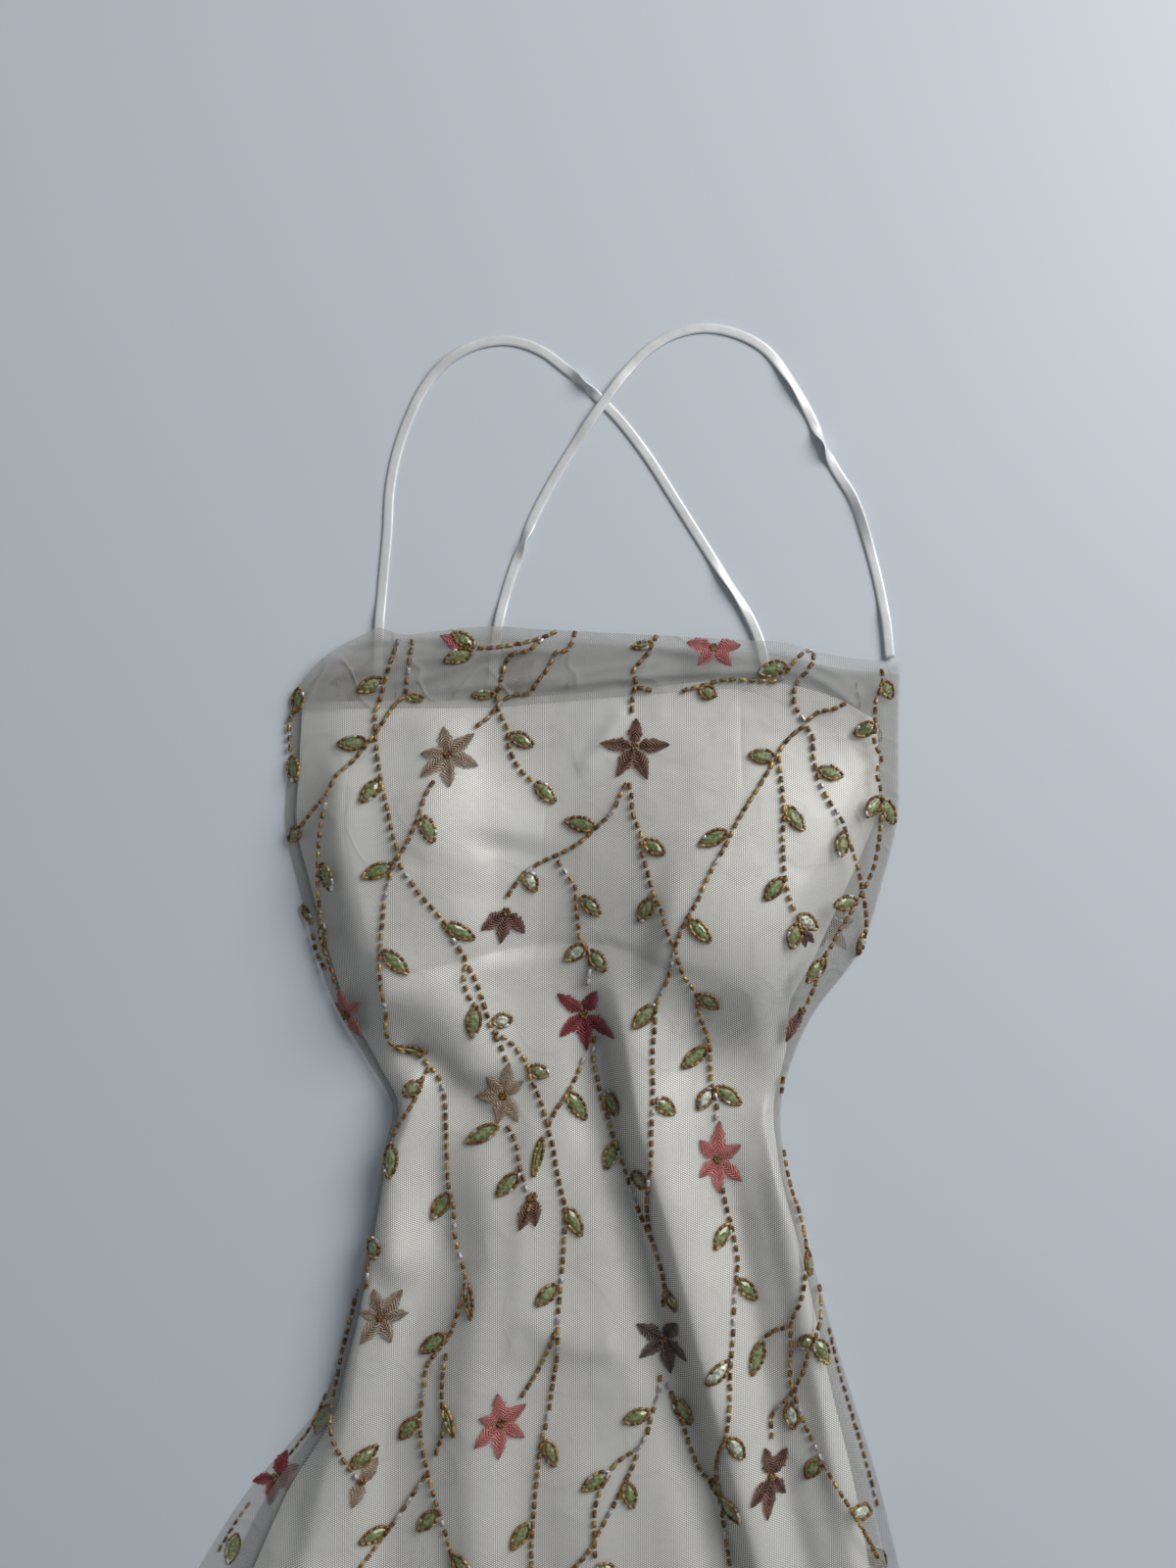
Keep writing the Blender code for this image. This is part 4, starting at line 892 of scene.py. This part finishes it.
class Sprays:
    """Beads, stones and petals gathered for one side of the net, then made into joined meshes."""

    def __init__(self, side, height_of, stand, flatness, seed):
        self.side, self.height_of, self.stand, self.flatness = side, height_of, stand, flatness
        self.random = random.Random(seed)
        self.beads = {tone: [] for tone, _ in TONES}
        self.stones = {"G": [], "S": []}
        self.petals = {}

    def add_beads(self, points, pitch, bead, tones=TONES):
        """Beads end to end along a smooth line."""
        points = np.array(points, float)
        length = np.hypot(*np.diff(points, axis=0).T).sum()
        count = max(1, round(length / pitch))
        line = smooth_line(points, 2 * count)
        for k in range(count):
            middle, run = line[2 * k + 1], line[2 * k + 2] - line[2 * k]
            turn = math.atan2(run[1], run[0]) + math.radians(self.random.gauss(0, BEAD_LEAN))
            half = 0.5 * bead[0] * self.random.uniform(*BEAD_LENGTHS)
            step = np.array([math.cos(turn), math.sin(turn)]) * half
            tone = self.random.choices([t for t, _ in tones], [w for _, w in tones])[0]
            self.beads[tone].append((*(middle - step), *(middle + step), bead[1]))

    def add_leaf(self, base_x, base_drop, tip_x, tip_drop, kind="G"):
        base, tip = np.array([base_x, base_drop]), np.array([tip_x, tip_drop])
        run = tip - base
        across = np.array([-run[1], run[0]]) / np.hypot(*run)
        half_width = NARROW_LEAF_HALF_WIDTH if "n" in kind else LEAF_HALF_WIDTH
        shares = evenly(7)
        for side in (-1, 1):
            bow = side * half_width * np.sin(math.pi * shares**0.9) ** 0.8
            edge = base + shares[:, None] * run + bow[:, None] * across
            self.add_beads(edge, LEAF_PITCH, LEAF_BEAD, LEAF_TONES)
        length = np.hypot(*run)
        sizes = (0.5 * length - STONE_SHORTER, half_width - STONE_NARROWER)
        self.stones[kind[0]].append((*(base + STONE_PLACE * run), *(run / length), *sizes))

    def add_flower(self, thread, centre, tips):
        for tip in tips:
            self.petals.setdefault(thread, []).append((*centre, *tip))
        for k in range(7):
            turn = 2 * math.pi * k / 6
            reach = SEED_RING if k < 6 else 0.0
            x, drop = centre[0] + reach * math.cos(turn), centre[1] + reach * math.sin(turn)
            lean = self.random.uniform(0, math.pi)
            dx, dd = np.array([math.cos(lean), math.sin(lean)]) * SEED_BEAD[0] / 2
            self.beads["brown"].append((x - dx, drop - dd, x + dx, drop + dd, SEED_BEAD[1]))

    def frame_at(self, x, drop, lift):
        up = normals(x, drop, self.height_of)
        return placed(x, drop, self.height_of(x, drop)) + up * (lift * MM)[..., None], up

    def bead_piece(self, tone, material):
        x0, drop0, x1, drop1, radius = np.array(self.beads[tone]).T
        radius = radius * self.flatness
        lift = self.stand * radius
        start, up = self.frame_at(x0, drop0, lift)
        end, _ = self.frame_at(x1, drop1, lift)
        axis = (end - start) / np.linalg.norm(end - start, axis=-1, keepdims=True)
        side = np.cross(up, axis)
        side /= np.linalg.norm(side, axis=-1, keepdims=True)
        up = np.cross(axis, side)
        turn = np.arange(BEAD_SIDES) * 2 * math.pi / BEAD_SIDES
        rings = []
        for share, width in BEAD_RINGS:
            middle = start + share * (end - start)
            spoke = np.cos(turn)[None, :, None] * side[:, None] + np.sin(turn)[None, :, None] * up[:, None]
            rings.append(middle[:, None] + spoke * (width * radius * MM)[:, None, None])
        points = np.stack(rings, axis=1)
        count, rings, sides = points.shape[:3]
        walls, near, far = tube_faces(rings, sides)
        first = np.arange(count)[:, None, None] * rings * sides
        faces = (first + walls).reshape(-1, 4).tolist()
        faces += (first + np.stack([near[::-1], far])).reshape(-1, sides).tolist()
        obj = add_piece(f"{tone}_beads_{self.side}", points.reshape(-1, 3), faces, material)
        obj.data.polygons.foreach_set("use_smooth", [len(face) == 4 for face in faces])

    def stone_piece(self, kind, name, material):
        x, drop, run_x, run_drop, half_length, half_width = np.array(self.stones[kind]).T
        outline = np.array(MARQUISE, float)
        rings = []
        for share, rise in STONE_RINGS:
            along = outline[:, 0] * share * half_length[:, None]
            across = outline[:, 1] * share * half_width[:, None]
            px = x[:, None] + along * run_x[:, None] - across * run_drop[:, None]
            pd = drop[:, None] + along * run_drop[:, None] + across * run_x[:, None]
            lift = np.full(px.shape, (self.stand - 1) * STAND_SHARE + (0.3 + rise) * self.flatness)
            rings.append(self.frame_at(px, pd, lift)[0])
        points = np.stack(rings, axis=1)
        count, rings, sides = points.shape[:3]
        walls, base, table = tube_faces(rings, sides)
        first = np.arange(count)[:, None, None] * rings * sides
        faces = (first + walls[:, ::-1]).reshape(-1, 4).tolist()
        faces += (first[:, 0] + table[::-1]).tolist() + (first[:, 0] + base).tolist()
        obj = add_piece(f"{name}_{self.side}", points.reshape(-1, 3), faces, material)
        obj.data.polygons.foreach_set("use_smooth", [False] * len(obj.data.polygons))

    def petal_piece(self, thread, material):
        x0, drop0, x1, drop1 = np.array(self.petals[thread]).T[..., None, None]
        v = evenly(PETAL_ROWS)[None, :, None]
        u = np.linspace(-1.0, 1.0, PETAL_COLUMNS)[None, None, :]
        run_x, run_drop = x1 - x0, drop1 - drop0
        length = np.hypot(run_x, run_drop)
        widest = np.minimum(PETAL_HALF_WIDTH * length, WIDEST_PETAL)
        half_width = widest * (np.sin(math.pi * v**0.66) ** 0.8 + 0.02)
        rng = np.random.default_rng(len(x0))
        ragged = rng.uniform(*RAGGED_EDGE, (2, len(x0), PETAL_ROWS, 1))
        half_width = half_width * np.where(u < 0, *ragged)
        share = PETAL_GAP + (1 - PETAL_GAP) * v
        x = x0 + share * run_x - u * half_width * run_drop / length
        drop = drop0 + share * run_drop + u * half_width * run_x / length
        crown = PETAL_CROWN * (1 - u**2) ** 0.6 * (0.25 + 0.75 * np.sin(math.pi * v) ** 0.5)
        crown = crown - PETAL_VEIN * np.exp(-((u / VEIN_WIDTH) ** 2)) * np.sin(math.pi * v)
        lift = (self.stand - 1) * STAND_SHARE + 0.2 + crown * self.flatness + 0.0 * x
        points, _ = self.frame_at(x, drop, lift)
        firsts = PETAL_ROWS * PETAL_COLUMNS * np.arange(len(points))
        faces = np.concatenate([grid_faces(PETAL_ROWS, PETAL_COLUMNS, first) for first in firsts])
        obj = add_piece(f"{thread}_petals_{self.side}", points.reshape(-1, 3), faces, material)
        uv = np.stack(np.broadcast_arrays((u + 1) / 2, v + 0.0 * x), axis=-1).reshape(-1, 2)
        corners = np.empty(len(obj.data.loops), int)
        obj.data.loops.foreach_get("vertex_index", corners)
        obj.data.uv_layers.new(name="petal").data.foreach_set("uv", uv[corners].ravel())

    def make(self, glass, gems, threads):
        for tone in self.beads:
            self.bead_piece(tone, glass[tone])
        for kind, name in (("G", "green_stones"), ("S", "silver_stones")):
            if self.stones[kind]:
                self.stone_piece(kind, name, gems[kind])
        for thread in self.petals:
            self.petal_piece(thread, threads[thread])


VINE_STEP = 2.4  # cm
LEAF_SPACING = 5.2
FLOWER_SPACING = 23.0
PETALS = 6
EDGE_MARGIN = 0.4  # cm kept clear along the side edges
FLOWER_GAP = 2.0  # cm kept on both sides of a flower's stem
SWAY_LENGTH = 4.2  # cm of drop for each radian of a vine's sway
THREADS = ("taupe", "brown", "rose", "crimson", "beige", "umber")


def trailing_vine(sprays, share, start, end, left, right):
    """A beaded stem that wanders down the skirt, with leaves on alternate sides and some flowers."""
    rng = sprays.random
    phase, sway = rng.uniform(0, 2 * math.pi), rng.uniform(0.012, 0.022)
    count = max(2, round((end - start) / VINE_STEP))
    drops = np.linspace(start, end, count + 1)
    shares = share + sway * (np.sin(drops / SWAY_LENGTH + phase) - math.sin(start / SWAY_LENGTH + phase))
    x = left(drops) + shares * (right(drops) - left(drops))
    points = np.stack([np.clip(x, left(drops) + EDGE_MARGIN, right(drops) - EDGE_MARGIN), drops], axis=-1)

    def fits(x, drop):
        return left(drop) + EDGE_MARGIN < x < right(drop) - EDGE_MARGIN

    side = rng.choice((-1, 1))
    to_flower, to_leaf = rng.uniform(6, FLOWER_SPACING), rng.uniform(1, LEAF_SPACING)
    stem = [points[0]]
    for before, here in zip(points[:-1], points[1:]):
        to_flower -= VINE_STEP
        to_leaf -= VINE_STEP
        roomy = all(fits(before[0] + gap, before[1]) for gap in (-FLOWER_GAP, FLOWER_GAP))
        if to_flower < 0 and here[1] < end - 3 and roomy:
            to_flower = FLOWER_SPACING * rng.uniform(0.85, 1.2)
            if len(stem) > 1:
                sprays.add_beads(stem, STEM_PITCH, STEM_BEAD)
            middle = before + (0.0, 1.9)
            turn = rng.uniform(0, 2 * math.pi)
            tips = []
            for k in range(PETALS):
                angle = turn + 2 * math.pi * k / PETALS + rng.uniform(-0.15, 0.15)
                reach = rng.uniform(1.75, 2.1)
                tips.append((middle[0] + reach * math.cos(angle), middle[1] + reach * math.sin(angle)))
            sprays.add_flower(rng.choice(THREADS), tuple(middle), tips)
            stem = []
            continue
        stem.append(here)
        if to_leaf < 0 and len(stem) > 1:
            to_leaf = LEAF_SPACING * rng.uniform(0.8, 1.25)
            side = -side
            angle = math.pi / 2 - side * rng.uniform(0.6, 1.1)
            reach = rng.uniform(1.6, 2.0)
            start_x, start_drop = here[0] + 0.2 * math.cos(angle), here[1] + 0.2 * math.sin(angle)
            tip = (start_x + reach * math.cos(angle), start_drop + reach * math.sin(angle))
            if fits(*tip):
                sprays.add_leaf(start_x, start_drop, *tip, "S" if rng.random() < 0.1 else "G")
    if len(stem) > 1:
        sprays.add_beads(stem, STEM_PITCH, STEM_BEAD)


CHART_END = 62.0  # drop at which the charted sprays end and the trailing vines take over
HEM_CLEARANCE = 3.5
VINE_STARTS = (-12.6, -5.7, -0.75, 3.2, 12.3, 17.0, 22.1)  # x of the vines at the chart's end
FORKS = ((0.04, 64.0), (0.3, 78.0), (0.62, 72.0), (0.84, 84.0), (0.14, 96.0), (0.44, 104.0))
BACK_VINES = 10
BACK_VINE_TOP = 3.2


def decorate_front(glass, gems, threads):
    sprays = Sprays("front", net_height, 0.6, 1.0, 11)
    for stem in STEMS:
        sprays.add_beads(stem, STEM_PITCH, STEM_BEAD)
    for leaf in LEAVES:
        sprays.add_leaf(*leaf)
    for flower in FLOWERS:
        sprays.add_flower(*flower)
    width = net_right(CHART_END) - net_left(CHART_END)
    shares = [((x - net_left(CHART_END)) / width, CHART_END + 0.4) for x in VINE_STARTS]
    for share, start in (*shares, *FORKS):
        end = NECK_TO_HEM - HEM_CLEARANCE - sprays.random.uniform(0, 3)
        trailing_vine(sprays, share, start, end, net_left, net_right)
    sprays.make(glass, gems, threads)


def decorate_back(glass, gems, threads):
    sprays = Sprays("back", back_net_height, 0.35, 0.62, 23)
    for leaf in BACK_LEAVES:
        sprays.add_leaf(*leaf)
    for stem in BACK_STEMS:
        sprays.add_beads(stem, STEM_PITCH, STEM_BEAD)
    for flower in BACK_FLOWERS:
        sprays.add_flower(*flower)
    for k in range(BACK_VINES):
        share = (k + 0.75) / (BACK_VINES + 0.5)
        end = NECK_TO_HEM - HEM_CLEARANCE - sprays.random.uniform(0, 3)
        trailing_vine(sprays, share, BACK_VINE_TOP, end, back_left, back_right)
    sprays.make(glass, gems, threads)


# ---------------------------------------------------------------- the room
TABLE_TINTS = (0.60, 0.65, 0.70), (0.62, 0.67, 0.72)
TABLE_HALF_SIZE = 6.0  # m
SKY_COLOUR = (0.88, 0.94, 1.0, 1.0)
SKY_STRENGTH = 0.20
# Name, place in metres, size in metres, power in watts and colour.
LIGHTS = (("window", (2.25, 2.1, 1.95), 2.4, 114.0, (1.0, 0.99, 0.98)),)
LIGHT_AIM = (0.05, 0.3, 0.0)


def build_room():
    recipe = Recipe("pale_table", roughness=0.45, specular_ior_level=0.3)
    recipe.feed("Base Color", recipe.blend(recipe.noise(3.0, 3.0), *TABLE_TINTS))
    corners = TABLE_HALF_SIZE * np.array([(-1, -1, 0), (1, -1, 0), (1, 1, 0), (-1, 1, 0)], float)
    add_piece("table", corners, [[0, 1, 2, 3]], recipe.material, body=None)
    scene = bpy.context.scene
    scene.view_settings.view_transform = "Standard"
    world = bpy.data.worlds.new("soft_daylight")
    world.use_nodes = True
    background = world.node_tree.nodes["Background"].inputs
    background["Color"].default_value = SKY_COLOUR
    background["Strength"].default_value = SKY_STRENGTH
    scene.world = world
    for name, place, size, power, colour in LIGHTS:
        light = bpy.data.lights.new(name, "AREA")
        light.shape = "DISK"
        light.size = size
        light.energy = power
        light.color = colour
        lamp = bpy.data.objects.new(name, light)
        lamp.location = place
        lamp.rotation_euler = (Vector(LIGHT_AIM) - lamp.location).to_track_quat("-Z", "Y").to_euler()
        scene.collection.objects.link(lamp)


VIEW_CENTRE = (2.925, 10.075)  # x and drop that the camera looks straight down on
VIEW_LENGTH = 104.0  # cm of table along the long side of the view
LENS = 35.0
SENSOR = 36.0


def build_camera():
    data = bpy.data.cameras.new("camera")
    data.lens = LENS
    data.sensor_width = SENSOR
    camera = bpy.data.objects.new("camera", data)
    x, drop = VIEW_CENTRE
    camera.location = (x * CM, (NECK_Y - drop) * CM, VIEW_LENGTH * CM * LENS / SENSOR)
    bpy.context.scene.collection.objects.link(camera)
    bpy.context.scene.camera = camera


def main():
    build_room()
    build_camera()
    ivory = satin("ivory_satin_cloth", SATIN_TINT)
    strap_cloth = satin("strap_satin_cloth", STRAP_TINT)
    ivory_net = net("ivory_net_cloth", SHADED_NET_TINT, 0.52, 0.0)
    build_net_back(ivory_net)
    build_satin_back(ivory)
    build_satin_bodice(ivory)
    build_satin_skirt(ivory)
    build_turning(net("turned_net_cloth", SHADED_NET_TINT, 0.55, 0.08, TURNED_NET_CELL, (0.06, 0.17)))
    build_net_front(ivory_net)
    build_strap("strap_left", STRAP_LEFT, LEFT_ROLLS, 0.0, strap_cloth)
    build_strap("strap_right", STRAP_RIGHT, RIGHT_ROLLS, CROSSING_LIFT, strap_cloth)
    glass = {
        "brown": bead_glass("brown_glass", (0.080, 0.034, 0.009), (0.29, 0.15, 0.045), 0.0, 0.30),
        "gold": bead_glass("gold_glass", (0.20, 0.12, 0.035), (0.50, 0.33, 0.12), 0.2, 0.28),
        "silver": bead_glass("silver_glass", (0.30, 0.25, 0.28), (0.62, 0.58, 0.54), 0.3, 0.3),
    }
    gems = {
        "G": cut_stone("peridot", (0.12, 0.145, 0.05), (0.28, 0.315, 0.155)),
        "S": cut_stone("pale_stone", (0.25, 0.30, 0.22), (0.70, 0.74, 0.62)),
    }
    threads = {
        "taupe": embroidery("taupe_thread", (0.15, 0.095, 0.065), (0.52, 0.41, 0.31)),
        "beige": embroidery("beige_thread", (0.28, 0.19, 0.13), (0.55, 0.42, 0.30)),
        "brown": embroidery("brown_thread", (0.024, 0.008, 0.006), (0.30, 0.15, 0.105)),
        "umber": embroidery("umber_thread", (0.05, 0.030, 0.022), (0.25, 0.19, 0.15)),
        "crimson": embroidery("crimson_thread", (0.11, 0.008, 0.012), (0.40, 0.075, 0.085)),
        "rose": embroidery("rose_thread", (0.42, 0.10, 0.095), (0.68, 0.27, 0.24)),
        "pink": embroidery("pink_thread", (0.40, 0.09, 0.10), (0.62, 0.23, 0.23)),
    }
    decorate_back(glass, gems, threads)
    decorate_front(glass, gems, threads)


main()
